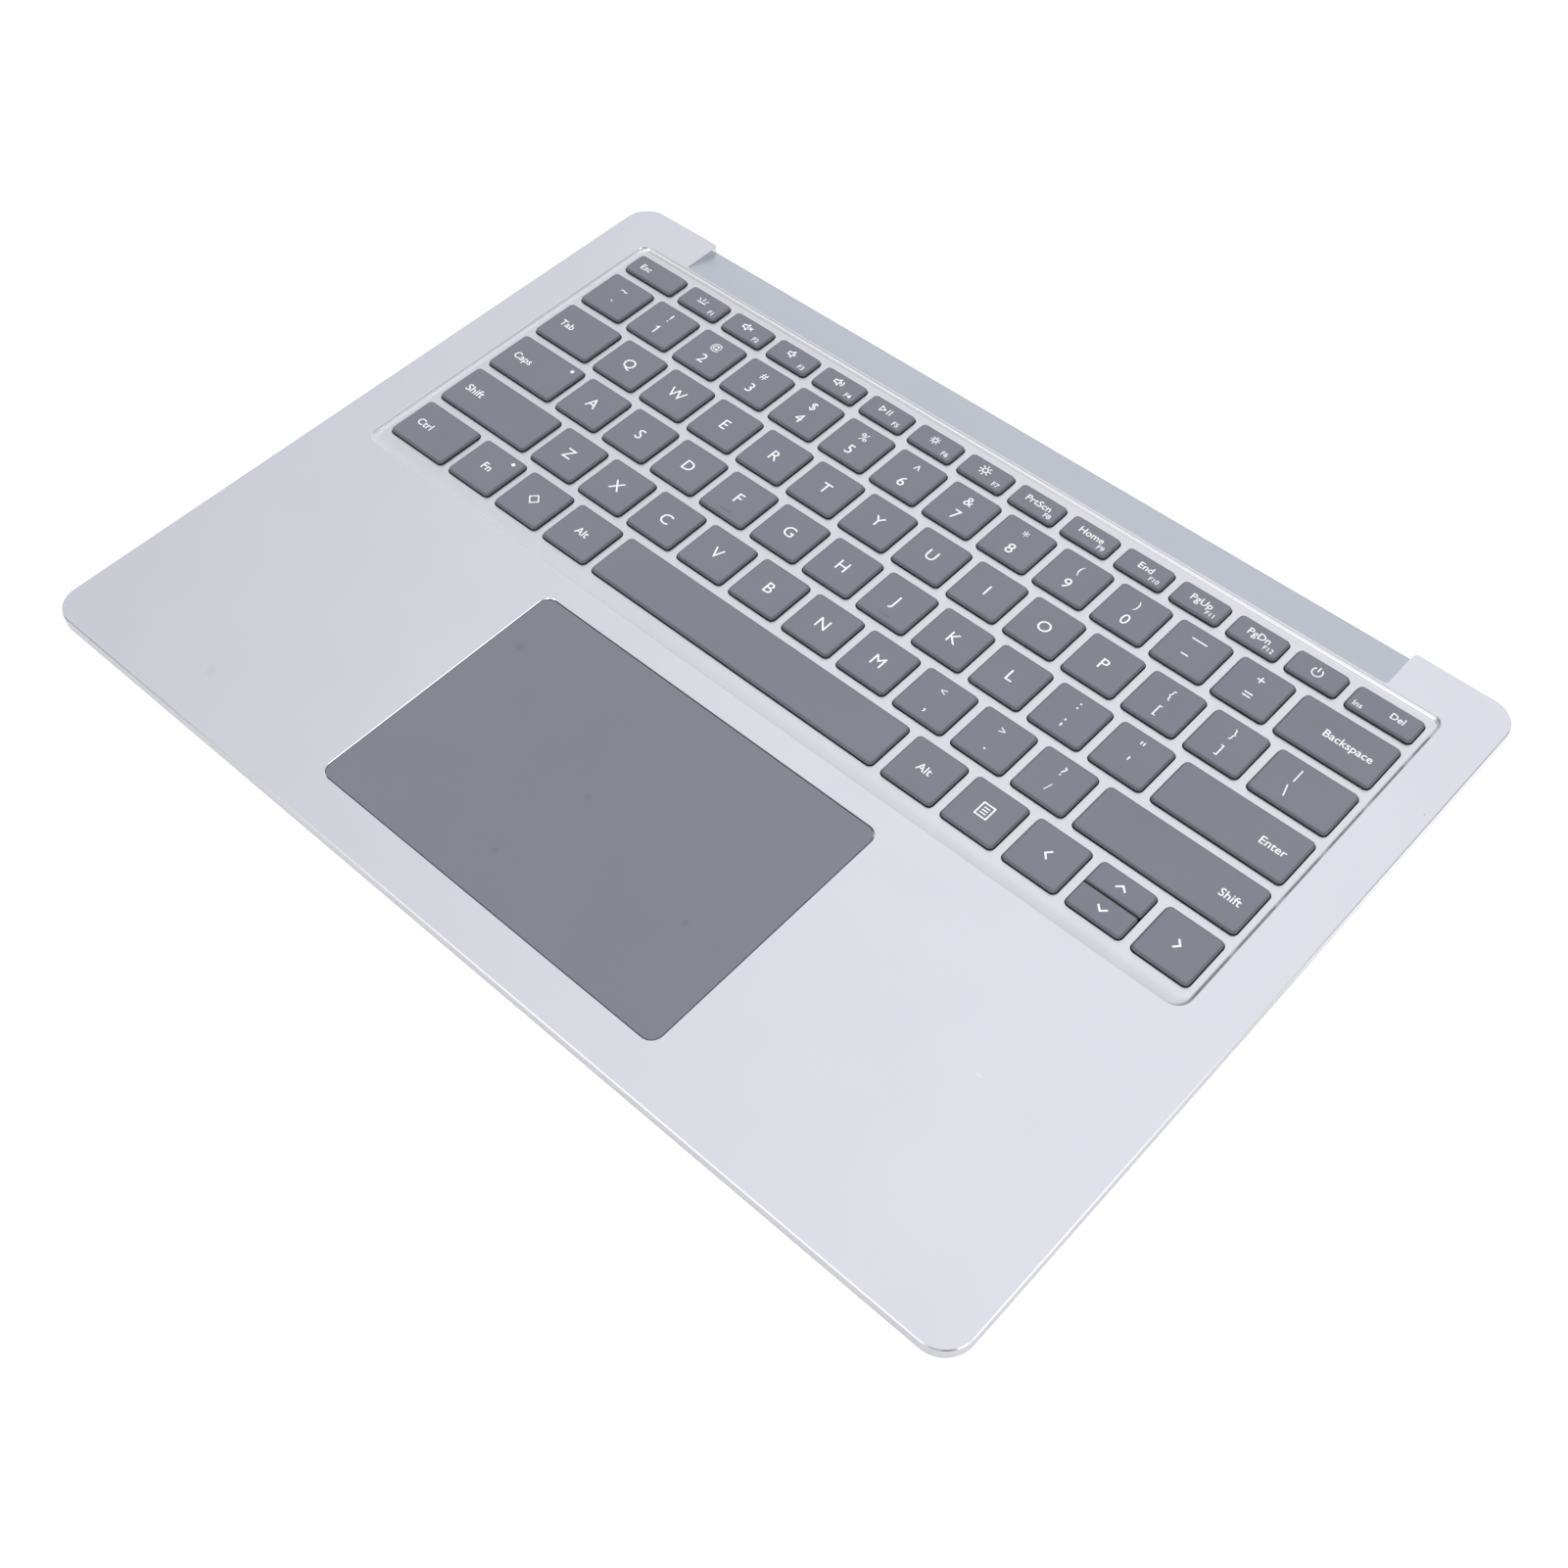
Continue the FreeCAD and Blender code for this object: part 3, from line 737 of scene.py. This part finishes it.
def add_text(bm, text, x, y, height, align="CENTER", bold=0.0):
    """Text whose capitals are centred on y and have the given height."""
    curve = bpy.data.curves.new("legend", "FONT")
    curve.body = text
    curve.size = height / CAP_HEIGHT
    curve.align_x = align
    curve.extrude = INK
    curve.offset = bold
    curve.resolution_u = 3
    carrier = bpy.data.objects.new("legend", curve)
    mesh = bpy.data.meshes.new_from_object(carrier)
    bpy.data.objects.remove(carrier)
    bpy.data.curves.remove(curve)
    turn_slivers(mesh)
    mesh.transform(Matrix.Translation((x, y - height / 2, key_top)))
    mesh.polygons.foreach_set("material_index", [PRINT] * len(mesh.polygons))
    bm.from_mesh(mesh)
    bpy.data.meshes.remove(mesh)


print("letters are", 2 * INK, "mm thick")

# %% [markdown]
# Icons are put together from bars and arc bands. They could be curves, but a bar is just a
# stretched grid, and a band is one short edge spun round a centre. Both get the thickness of
# the letters.

# %% Bars and bands for icons
STROKE = 0.36


def thicken(bm, faces):
    others = set(bm.faces) - set(faces)
    draw_out(bm, faces, (0, 0, 2 * INK))
    for face in bm.faces:
        if face not in others:
            face.material_index = PRINT


def add_bar(bm, xa, ya, xb, yb, width=STROKE):
    others = set(bm.faces)
    turn = Matrix.Rotation(math.atan2(yb - ya, xb - xa), 4, "Z")
    stretch = Matrix.Diagonal((math.hypot(xb - xa, yb - ya) + width * 0.6, width, 1, 1))
    middle = Matrix.Translation(((xa + xb) / 2, (ya + yb) / 2, key_top - INK))
    bmesh.ops.create_grid(bm, x_segments=1, y_segments=1, size=0.5, matrix=middle @ turn @ stretch)
    thicken(bm, [f for f in bm.faces if f not in others])


def add_band(bm, x, y, radius, start, sweep, width=STROKE):
    others = set(bm.faces)
    a = math.radians(start)
    ends = [radius - width / 2, radius + width / 2]
    verts = [bm.verts.new((x + r * math.cos(a), y + r * math.sin(a), key_top - INK)) for r in ends]
    start_edge = [*verts, bm.edges.new(verts)]
    angle = math.radians(sweep)
    steps = max(4, round(sweep / 15))
    closed = sweep >= 360
    bmesh.ops.spin(
        bm, geom=start_edge, cent=(x, y, 0), axis=(0, 0, 1), angle=angle, steps=steps, use_merge=closed
    )
    thicken(bm, [f for f in bm.faces if f not in others])


def add_outline(bm, x, y, corners, width=STROKE):
    """Bars round a closed outline whose corners are given from (x, y)."""
    for (ax, ay), (bx, by) in zip(corners, corners[1:] + corners[:1]):
        add_bar(bm, x + ax, y + ay, x + bx, y + by, width)


print("strokes are", STROKE, "mm wide")

# %% [markdown]
# The icons are the usual ones of any keyboard: speaker, sun, play and pause, power, arrows.
# Each is a short function in millimetres from the key's middle.

# %% Icons
def speaker(bm, x, y, waves):
    horn = [(-1.5, -0.55), (-0.8, -0.55), (0.1, -1.3), (0.1, 1.3), (-0.8, 0.55), (-1.5, 0.55)]
    add_outline(bm, x, y, horn)
    for i in range(waves):
        add_band(bm, x, y, 0.75 + 0.75 * i, -42, 84)
    if not waves:
        add_bar(bm, x + 0.75, y - 0.5, x + 1.75, y + 0.5)
        add_bar(bm, x + 0.75, y + 0.5, x + 1.75, y - 0.5)


def sun(bm, x, y, radius, ray):
    add_band(bm, x, y, radius, 0, 360)
    near = radius + 0.45
    far = near + ray
    for i in range(8):
        c, s = math.cos(i * math.pi / 4), math.sin(i * math.pi / 4)
        add_bar(bm, x + c * near, y + s * near, x + c * far, y + s * far)


def play_pause(bm, x, y):
    add_outline(bm, x, y, [(-2.0, -1.0), (-0.3, 0.0), (-2.0, 1.0)], 0.32)
    for dx in (0.7, 1.6):
        add_bar(bm, x + dx, y - 1.0, x + dx, y + 1.0, 0.34)


def key_light(bm, x, y):
    add_bar(bm, x - 1.5, y - 1.0, x + 1.5, y - 1.0, 0.4)
    for dx, dy, ex, ey in ((0, -0.2, 0, 1.0), (-0.9, -0.3, -1.7, 0.5), (0.9, -0.3, 1.7, 0.5)):
        add_bar(bm, x + dx, y + dy, x + ex, y + ey, 0.32)


def power(bm, x, y):
    add_band(bm, x, y, 1.45, 125, 290)
    add_bar(bm, x, y + 0.2, x, y + 1.8)


def chevron(bm, x, y, turn):
    spin = Matrix.Rotation(math.radians(turn), 3, "Z")
    tip = spin @ Vector((0.6, 0, 0))
    for side in (-1, 1):
        foot = spin @ Vector((-0.6, side * 1.3, 0))
        add_bar(bm, x + tip.x, y + tip.y, x + foot.x, y + foot.y, 0.5)


def menu_list(bm, x, y):
    add_outline(bm, x, y, [(-1.7, -2.0), (1.7, -2.0), (1.7, 2.0), (-1.7, 2.0)], 0.42)
    for dy in (-0.9, 0.0, 0.9):
        add_bar(bm, x - 0.8, y + dy, x + 0.8, y + dy)


def lozenge(bm, x, y):
    add_outline(bm, x, y, [(-1.7, 0), (0, -1.7), (1.7, 0), (0, 1.7)])


icons = {
    "f1": (key_light,),
    "f2": (speaker, 0),
    "f3": (speaker, 1),
    "f4": (speaker, 2),
    "f5": (play_pause,),
    "f6": (sun, 0.7, 0.25),
    "f7": (sun, 0.8, 0.6),
    "power": (power,),
    "arrow_left": (chevron, 180),
    "arrow_right": (chevron, 0),
    "arrow_up": (chevron, 90),
    "arrow_down": (chevron, -90),
    "menu": (menu_list,),
    "system": (lozenge,),
}
print("icons for", len(icons), "keys")

# %% [markdown]
# Which legend goes on which key, and where: letters in the middle, number and sign keys with
# the shifted sign behind, long words towards the outer edge of wide keys.

# %% Legend plan
pairs = {key: key + sign for key, sign in zip("234567890", "@#$%^&*()")}
pairs.update({"grave": "`~", "equals": "=+", "left_bracket": "[{", "right_bracket": "]}"})
pairs.update({"backslash": "\\|", "semicolon": ";:", "quote": "'\"", "comma": ",<"})
pairs.update({"period": ".>", "slash": "/?"})
LETTER, LOWER, UPPER, WORD = 3.6, 3.5, 3.2, 2.35
BOLD, LESS_BOLD = 0.03, 0.02
lower_place = -2.8
upper_place = 3.3
left_margin = 3.4
right_margin = 3.5
backslash_place = 8.0
small_signs = {"@": 2.5, "#": 2.5, "<": 2.4, ">": 2.4, "/": 2.5, "(": 2.7, ")": 2.7, "[": 2.8, "]": 2.8}
small_signs.update({"{": 2.7, "}": 2.7, "$": 2.9, "%": 2.9, "?": 2.9})
raised_signs = {"`": -0.8, ":": 0.8, ";": 0.4, ".": 0.4}
left_words = {"esc": "Esc", "tab": "Tab", "caps": "Caps", "left_shift": "Shift", "left_ctrl": "Ctrl"}
right_words = {"backspace": "Backspace", "enter": "Enter", "right_shift": "Shift"}
middle_words = {"fn": "Fn", "left_alt": "Alt", "right_alt": "Alt"}
function_words = {"f8": "PrtScn", "f9": "Home", "f10": "End", "f11": "PgUp", "f12": "PgDn"}
word_heights = {"esc": 2.1, "left_shift": 2.55, "fn": 2.5}


def add_sign(bm, sign, x, y, height):
    add_text(bm, sign, x, y + raised_signs.get(sign, 0), small_signs.get(sign, height))


def add_middle_sign(bm, name, x, y):
    """The letter of a letter key, or the two signs of a number or sign key."""
    if len(name) == 1 and name.isalpha():
        add_text(bm, name.upper(), x, y, LETTER)
    elif name == "1":
        add_bar(bm, x, y - 4.3, x, y - 1.3, 0.46)
        add_bar(bm, x - 0.75, y - 1.85, x - 0.1, y - 1.3, 0.42)
        add_sign(bm, "!", x, y + upper_place, UPPER)
    elif name == "minus":
        add_bar(bm, x - 1.5, y - 2.4, x + 0.5, y - 2.4, 0.42)
        add_bar(bm, x - 2.2, y + 3.6, x + 2.2, y + 3.6, 0.42)
    elif name in pairs:
        lower, upper = pairs[name]
        add_sign(bm, lower, x, y + lower_place, LOWER)
        add_sign(bm, upper, x, y + upper_place, UPPER)


def add_legend(bm, name, x0, x1, y0, y1):
    x, y = (x0 + x1) / 2, (y0 + y1) / 2
    add_middle_sign(bm, name, x0 + backslash_place if name == "backslash" else x, y)
    for words, place, align in (
        (left_words, x0 + left_margin, "LEFT"),
        (right_words, x1 - right_margin, "RIGHT"),
        (middle_words, x, "CENTER"),
    ):
        if name in words:
            add_text(bm, words[name], place, y, word_heights.get(name, WORD), align, BOLD)
    if name in function_words:
        add_text(bm, function_words[name], x + 0.2, y + 0.45, 2.2, "CENTER", BOLD)
    if name in icons:
        draw, *sizes = icons[name]
        small = name[0] == "f"
        draw(bm, x - 0.7 * small, y + 0.6 * small, *sizes)
    if name[0] == "f" and name[1:].isdigit():
        height = 1.6 if len(name) < 3 else 1.45
        add_text(bm, name.upper(), x1 - 1.6, y0 + 2.0, height, "RIGHT", LESS_BOLD)
    if name == "delete":
        add_text(bm, "Ins", x0 + 1.35, y - 2.0, 1.7, "LEFT", LESS_BOLD)
        add_text(bm, "Del", x1 - 4.0, y + 0.5, 2.0, "RIGHT", BOLD)
    if name in ("caps", "fn"):
        add_band(bm, x1 - 3.0, y1 - 2.4, 0.3, 0, 360, 0.58)


print("sign pairs", len(pairs), "words", len(left_words) + len(right_words) + len(middle_words))

# %% [markdown]
# A keycap is a low pad with round corners and a soft top edge that a finger can find. One could bevel a
# cube. Here one rounded face is drawn up in two steps, so that the dark flank, painted shade, ends on a
# clean line: straight up to the top of the flank, then a little inwards to the top, whose edge is
# bevelled. A thin inset keeps the top flat beside the smooth round edge.

# %% Keycaps
flank_top = 3.3
arrow_inner_corner = 0.5
edge_round = 0.42


def add_keycap(bm, name, x0, x1, y0, y1):
    others = set(bm.faces)
    front = arrow_inner_corner if name == "arrow_up" else key_corner
    rear = arrow_inner_corner if name == "arrow_down" else key_corner
    foot = (x0 - skirt, x1 + skirt, y0 - skirt, y1 + skirt)
    top = flat_face(bm, *foot, key_bottom, front + skirt, rear + skirt)
    centre = Matrix.Translation((-(x0 + x1) / 2, -(y0 + y1) / 2, 0))
    narrow = ((x1 - x0) / (x1 - x0 + 2 * skirt), (y1 - y0) / (y1 - y0 + 2 * skirt), 1)
    middle = draw_out(bm, [top], (0, 0, flank_top - key_bottom))[1]
    upper, top = draw_out(bm, [middle], (0, 0, key_top - flank_top))
    bmesh.ops.scale(bm, vec=narrow, space=centre, verts=upper)
    bmesh.ops.delete(bm, geom=[middle], context="FACES_ONLY")
    soften(bm, list(top.edges), edge_round, 4, LACQUER)
    cap = [f for f in bm.faces if f not in others]
    # Faces of the round edge and the flank take the darker finishes: painted shade.
    for face in cap:
        height = face.calc_center_median().z
        if height < key_top - 0.001:
            face.material_index = EDGE if height > flank_top else FLANK
    level = [f for f in cap if f.calc_center_median().z > key_top - 0.01]
    top = max(level, key=lambda f: f.calc_area())
    bmesh.ops.inset_region(bm, faces=[top], thickness=0.1, depth=0.0, use_even_offset=True)
    add_legend(bm, name, x0, x1, y0, y1)
    if name in ("f", "j"):
        add_homing_bar(bm, (x0 + x1) / 2, y0 + 2.4)


def add_homing_bar(bm, x, y):
    """The small bar by which a finger finds the F and J keys."""
    base = flat_face(bm, x - 1.8, x + 1.8, y - 0.3, y + 0.3, key_top - INK, 0.29, None, 4)
    top = draw_out(bm, [base], (0, 0, 0.15))[1]
    soften(bm, list(top.edges), 0.08, 2)


for name, span in front_keys.items():
    bm = bmesh.new()
    add_keycap(bm, name, *span)
    finished(bm, "cap_" + name, "key_" + name, cap_finishes, ["key_" + name])
bm = bmesh.new()
for name, span in rear_keys.items():
    add_keycap(bm, name, *span)
rear_caps = finished(bm, "rear_caps", "case", cap_finishes)
print(len(front_keys), "moving caps and", len(rear_keys), "in", rear_caps.name)

# %% [markdown]
# Under each key a rubber dome pushes back and two crossed links keep the key level. They fold flat when
# the key goes down. Under each moving key they are a piece of their own, with a mesh of its own. A dome
# could be spun from a curve, but so little of it shows that a short cone will do, and a link is a bar on
# the slant.

# %% Domes and links
membrane_top = 1.1
long_key = 60.0
second_link = 30.0
dome_foot = 2.5
dome_head = 1.3
dome_gap = 0.05
link_width = 0.9
link_height = 0.3
link_places = ((3.6, 1), (4.9, -1))
# Domes and links are near-black: painted shade for the dark gaps round the keys.
support_finishes = [dome_rubber_painted_shade, link_nylon_painted_shade]
NYLON = support_finishes.index(link_nylon_painted_shade)


def add_support(bm, x0, x1, y0, y1):
    x, y = (x0 + x1) / 2, (y0 + y1) / 2
    height = key_bottom - dome_gap - membrane_top
    level = membrane_top + height / 2
    place = Matrix.Translation((x, y, level))
    bmesh.ops.create_cone(
        bm, cap_ends=True, segments=12, radius1=dome_foot, radius2=dome_head, depth=height, matrix=place
    )
    others = set(bm.faces)
    reach = min(5.0, (y1 - y0) / 2 - 0.8)
    slant = math.atan2(height - link_height, 2 * reach)
    link = Matrix.Diagonal((link_width, 2 * reach, link_height, 1))
    places = [x] if x1 - x0 < long_key else [x - second_link, x + second_link]
    for middle in places:
        for side in (-1, 1):
            for offset, turn in link_places:
                place = Matrix.Translation((middle + side * offset, y, level))
                slope = Matrix.Rotation(turn * slant, 4, "X")
                bmesh.ops.create_cube(bm, size=1.0, matrix=place @ slope @ link)
    for face in bm.faces:
        if face not in others:
            face.material_index = NYLON


stood_for = ["key_domes", "scissor_links"]
bm = bmesh.new()
for span in rear_keys.values():
    add_support(bm, *span)
finished(bm, "rear_supports", "case", support_finishes, stood_for, 400)
for name, span in front_keys.items():
    bm = bmesh.new()
    add_support(bm, *span)
    support = finished(bm, "support_" + name, "case", support_finishes, (), 400)
    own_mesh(support)
print("supports under", len(front_keys) + len(rear_keys), "keys")

# %% [markdown]
# The carrier plate is a thin stamped steel sheet that all the supports stand on. From above
# only a dark slit of it can be seen, so a rounded sheet with soft edges is enough.

# %% Carrier plate
plate_low, plate_high = node_box("keyboard_plate")
bm = bmesh.new()
sheet = flat_face(bm, plate_low.x, plate_high.x, plate_low.y, plate_high.y, plate_low.z, 1.0)
draw_out(bm, [sheet], (0, 0, plate_top - plate_low.z))
soften(bm, [e for e in bm.edges if abs(e.verts[0].co.z - e.verts[1].co.z) < 1e-5], 0.06, 2)
finished(bm, "carrier_plate", "case", [sheet_steel], ["keyboard_plate"])
print("plate", [round(v, 2) for v in plate_high - plate_low])

# %% [markdown]
# The touchpad is one plate of glass with ground edges. It lies a twentieth of a millimetre
# below the palm and tips a little at its front when it is pressed.

# %% Touchpad glass
bm = bmesh.new()
base = flat_face(bm, pad_low.x, pad_high.x, pad_low.y, pad_high.y, pad_low.z, pad_corner, None, 8)
top = draw_out(bm, [base], (0, 0, pad_high.z - pad_low.z))[1]
soften(bm, list(top.edges), 0.22, 3)
finished(bm, "touchpad_plate", "touchpad", [satin_glass], ["touchpad_glass"])
print("touchpad level", round(pad_high.z, 2))

# %% [markdown]
# Six small screws hold the bracket under the touchpad to the long pads of the case. A head
# is a low drum of rings with a cross for the driver sunk into its face. The cross is a closed
# loop of twelve points, so the face can be filled between it and the rim like the skins above.

# %% Bracket screws
bracket_low = node_box("touchpad_bracket")[0]
screw_head = 0.5
head_radius = 1.5
head_chamfer = 0.15
screw_face = bracket_low.z - screw_head
cross_depth = 0.3
screw_x = 61.6
screw_rows = (-80.0, -59.6, -39.2)


def cross_loop(bm, x, y, z, reach=0.85, half=0.2):
    quarter = [(reach, -half), (reach, half), (half, half)]
    verts = []
    for turn in range(4):
        spin = Matrix.Rotation(turn * math.pi / 2, 2)
        verts += [bm.verts.new((*(spin @ Vector(point) + Vector((x, y))), z)) for point in quarter]
    return [bm.edges.new(pair) for pair in zip(verts, verts[1:] + verts[:1])]


def add_screw(bm, x, y):
    rims = [
        disc_ring(bm, x, y, bracket_low.z, head_radius),
        disc_ring(bm, x, y, screw_face + head_chamfer, head_radius),
        disc_ring(bm, x, y, screw_face, head_radius - head_chamfer),
    ]
    cross = [cross_loop(bm, x, y, z) for z in (screw_face, screw_face + cross_depth)]
    wall(bm, rims)
    wall(bm, cross)
    skin(bm, rims[-1] + cross[0])
    for closed in (rims[0], cross[1]):
        bmesh.ops.contextual_create(bm, geom=closed)


bm = bmesh.new()
for x in (-screw_x, screw_x):
    for y in screw_rows:
        add_screw(bm, x, y)
screws = finished(bm, "bracket_screws", "case", [sheet_steel], (), 1.0)
print("screws", len(screws.data.polygons), "faces")

# %% [markdown]
# The setting is a pale floor that the camera sees as pure white. A floor as bright as that
# would flood the sides of the case with light. So its glow asks the Light Path node which ray
# has come: the camera's rays find it white, and reflections find it dim, dimmest on the left
# and brighter along the rear half of the right side, where the side fades into the white.

# %% Floor
floor_drop = 0.0004
bm = bmesh.new()
level = Matrix.Translation((0, 0, -floor_drop))
bmesh.ops.create_grid(bm, x_segments=1, y_segments=1, size=3.0, matrix=level)
mesh = bpy.data.meshes.new("floor")
bm.to_mesh(mesh)
bm.free()
paper = bpy.data.materials.new("pale_paper")
paper.use_nodes = True
floor_tree = paper.node_tree
shader = floor_tree.nodes["Principled BSDF"]
set_values(shader, {"Base Color": (0.93, 0.93, 0.93, 1.0), "Roughness": 0.9, "Emission Color": WHITE})
path = add_node(floor_tree, "LightPath")
place = add_node(floor_tree, "TexCoord")
across = add_node(floor_tree, "SeparateXYZ")
join(floor_tree, (place, "Object", across, "Vector"))


def floor_range(value, start, end, low, high):
    """Runs from low to high between two places. Each may be a number or a node's output."""
    node = add_node(floor_tree, "MapRange")
    given = {"Value": value, "From Min": start, "From Max": end, "To Min": low, "To Max": high}
    for label, item in given.items():
        if isinstance(item, bpy.types.NodeSocket):
            floor_tree.links.new(item, node.inputs[label])
        else:
            node.inputs[label].default_value = item
    return node.outputs["Result"]


white_glow = 0.6
front_glow = 0.16
right_glow = (0.22, 0.62)
beside = floor_range(across.outputs["Y"], 0.0, 0.045, *right_glow)
beside = floor_range(across.outputs["Y"], 0.106, 0.116, beside, 0.0)
bounce = floor_range(across.outputs["X"], -0.157, -0.150, 0.0, front_glow)
bounce = floor_range(across.outputs["X"], 0.150, 0.157, bounce, beside)
glow = floor_range(path.outputs["Is Camera Ray"], 0.0, 1.0, bounce, white_glow)
floor_tree.links.new(glow, shader.inputs["Emission Strength"])
mesh.materials.append(paper)
floor = bpy.data.objects.new("floor", mesh)
bpy.context.scene.collection.objects.link(floor)
print("floor", floor.name, "at", -floor_drop)

# %% [markdown]
# The light comes from a bright sky all round. Metal shows what it reflects, so the sky is drawn as a soft
# ramp from the horizon to the top, with patches on it. The wide patches shade the palm from left to right.
# The small ones draw the bright and dark stretches of the polished edges. Lamps could do that too, but a
# patch has no shadow and is quick to place.

# %% Sky
world = bpy.data.worlds.new("studio")
bpy.context.scene.world = world
world.use_nodes = True
sky_tree = world.node_tree
sky = sky_tree.nodes["Background"]
direction = add_node(sky_tree, "TexCoord")
split = add_node(sky_tree, "SeparateXYZ")
ramp = add_node(sky_tree, "ValToRGB")
ramp.color_ramp.elements[0].color = (0.5, 0.5, 0.51, 1)
ramp.color_ramp.elements[1].color = (0.74, 0.74, 0.74, 1)
for height, *tone in (
    (0.3, 0.46, 0.47, 0.48),
    (0.5, 0.6, 0.6, 0.61),
    (0.64, 0.68, 0.68, 0.69),
    (0.8, 0.72, 0.72, 0.72),
):
    ramp.color_ramp.elements.new(height).color = (*tone, 1)
join(sky_tree, (direction, "Generated", split, "Vector"), (split, "Z", ramp, "Fac"))


def sky_patch(tones, toward, wide, high, radiance, core):
    """Blends a patch of the given half sizes into the sky, full in its core and soft outside."""
    ends = {"From Min": 1.0, "From Max": core}
    away = add_node(sky_tree, "VectorMath", {1: Vector(toward).normalized()}, operation="SUBTRACT")
    shape = add_node(sky_tree, "VectorMath", {1: (wide, wide, high)}, operation="DIVIDE")
    span = add_node(sky_tree, "VectorMath", operation="LENGTH")
    fade = add_node(sky_tree, "MapRange", ends, interpolation_type="SMOOTHSTEP")
    blend = add_node(sky_tree, "Mix", {"B": (radiance, radiance, radiance, 1)}, data_type="RGBA")
    join(
        sky_tree,
        (direction, "Generated", away, 0),
        (away, "Vector", shape, 0),
        (shape, "Vector", span, 0),
        (span, "Value", fade, "Value"),
        (fade, "Result", blend, "Factor"),
    )
    sky_tree.links.new(tones, blend.inputs["A"])
    return blend.outputs["Result"]


sky_plan = [
    ((-0.4, 0.9, 0.2), 0.8, 0.5, 0.86, 0.4),
    ((-0.22, 0.48, 0.85), 0.58, 0.58, 0.97, 0.15),
    ((-0.62, -0.2, 0.76), 0.36, 0.36, 0.42, 0.3),
    ((-0.68, -0.70, 0.23), 0.4, 0.2, 0.38, 0.4),
    ((0.70, -0.62, 0.36), 0.28, 0.2, 0.3, 0.4),
    ((0.64, 0.34, 0.69), 0.24, 0.24, 1.4, 0.5),
    ((0.38, -0.42, 0.82), 0.22, 0.22, 2.4, 0.6),
    ((-0.3, -0.9, 0.29), 0.55, 0.2, 1.12, 0.25),
    ((-0.08, -0.78, 0.62), 0.36, 0.25, 1.8, 0.3),
    ((0.93, 0.32, 0.187), 0.37, 0.13, 1.22, 0.1),
    ((0.95, -0.1, 0.28), 0.36, 0.13, 1.3, 0.5),
]
tones = ramp.outputs["Color"]
for patch in sky_plan:
    tones = sky_patch(tones, *patch)
print("sky", len(sky_plan), "patches")

# %% [markdown]
# The camera itself sees a plain pale backdrop where the floor ends, and not the drawn sky.
# One wide lamp overhead adds a breath of direction to the light.

# %% Backdrop and lamp
seen = add_node(sky_tree, "LightPath")
backdrop = add_node(sky_tree, "Mix", {"B": (0.92, 0.92, 0.925, 1)}, data_type="RGBA")
join(sky_tree, (seen, "Is Camera Ray", backdrop, "Factor"), (backdrop, "Result", sky, "Color"))
sky_tree.links.new(tones, backdrop.inputs["A"])

lamp = bpy.data.lights.new("overhead", "AREA")
lamp.shape = "DISK"
lamp.size = 1.6
lamp.energy = 0.3
overhead = bpy.data.objects.new("overhead", lamp)
overhead.location = (0.3, 0.2, 2.0)
overhead.rotation_euler = (-overhead.location).to_track_quat("-Z", "Y").to_euler()
bpy.context.scene.collection.objects.link(overhead)
bpy.context.scene.view_settings.view_transform = "Standard"
print("lamp", overhead.name, "of", lamp.energy, "watts")

# %% [markdown]
# The camera looks down from the front right, as the photograph does. Its place and axes were
# fitted to the corners of the keys, whose pitch is known.

# %% Camera
eye = (0.233543, -0.238741, 0.398108)
right = (0.73817548, 0.6744089, -0.01641939)
upward = (-0.5335423, 0.59853823, 0.59756556)
backward = (0.41283116, -0.4323478, 0.80165193)
lens = bpy.data.cameras.new("camera")
lens.sensor_width = 36.0
lens.lens = 46.149
camera = bpy.data.objects.new("camera", lens)
axes = Matrix((right, upward, backward)).transposed()
camera.matrix_world = Matrix.Translation(eye) @ axes.to_4x4()
bpy.context.scene.collection.objects.link(camera)
bpy.context.scene.camera = camera
print("camera", [round(v, 3) for v in eye])

# %% [markdown]
# Last, the view layer is brought up to date.

# %% Update the view layer
bpy.context.view_layer.update()
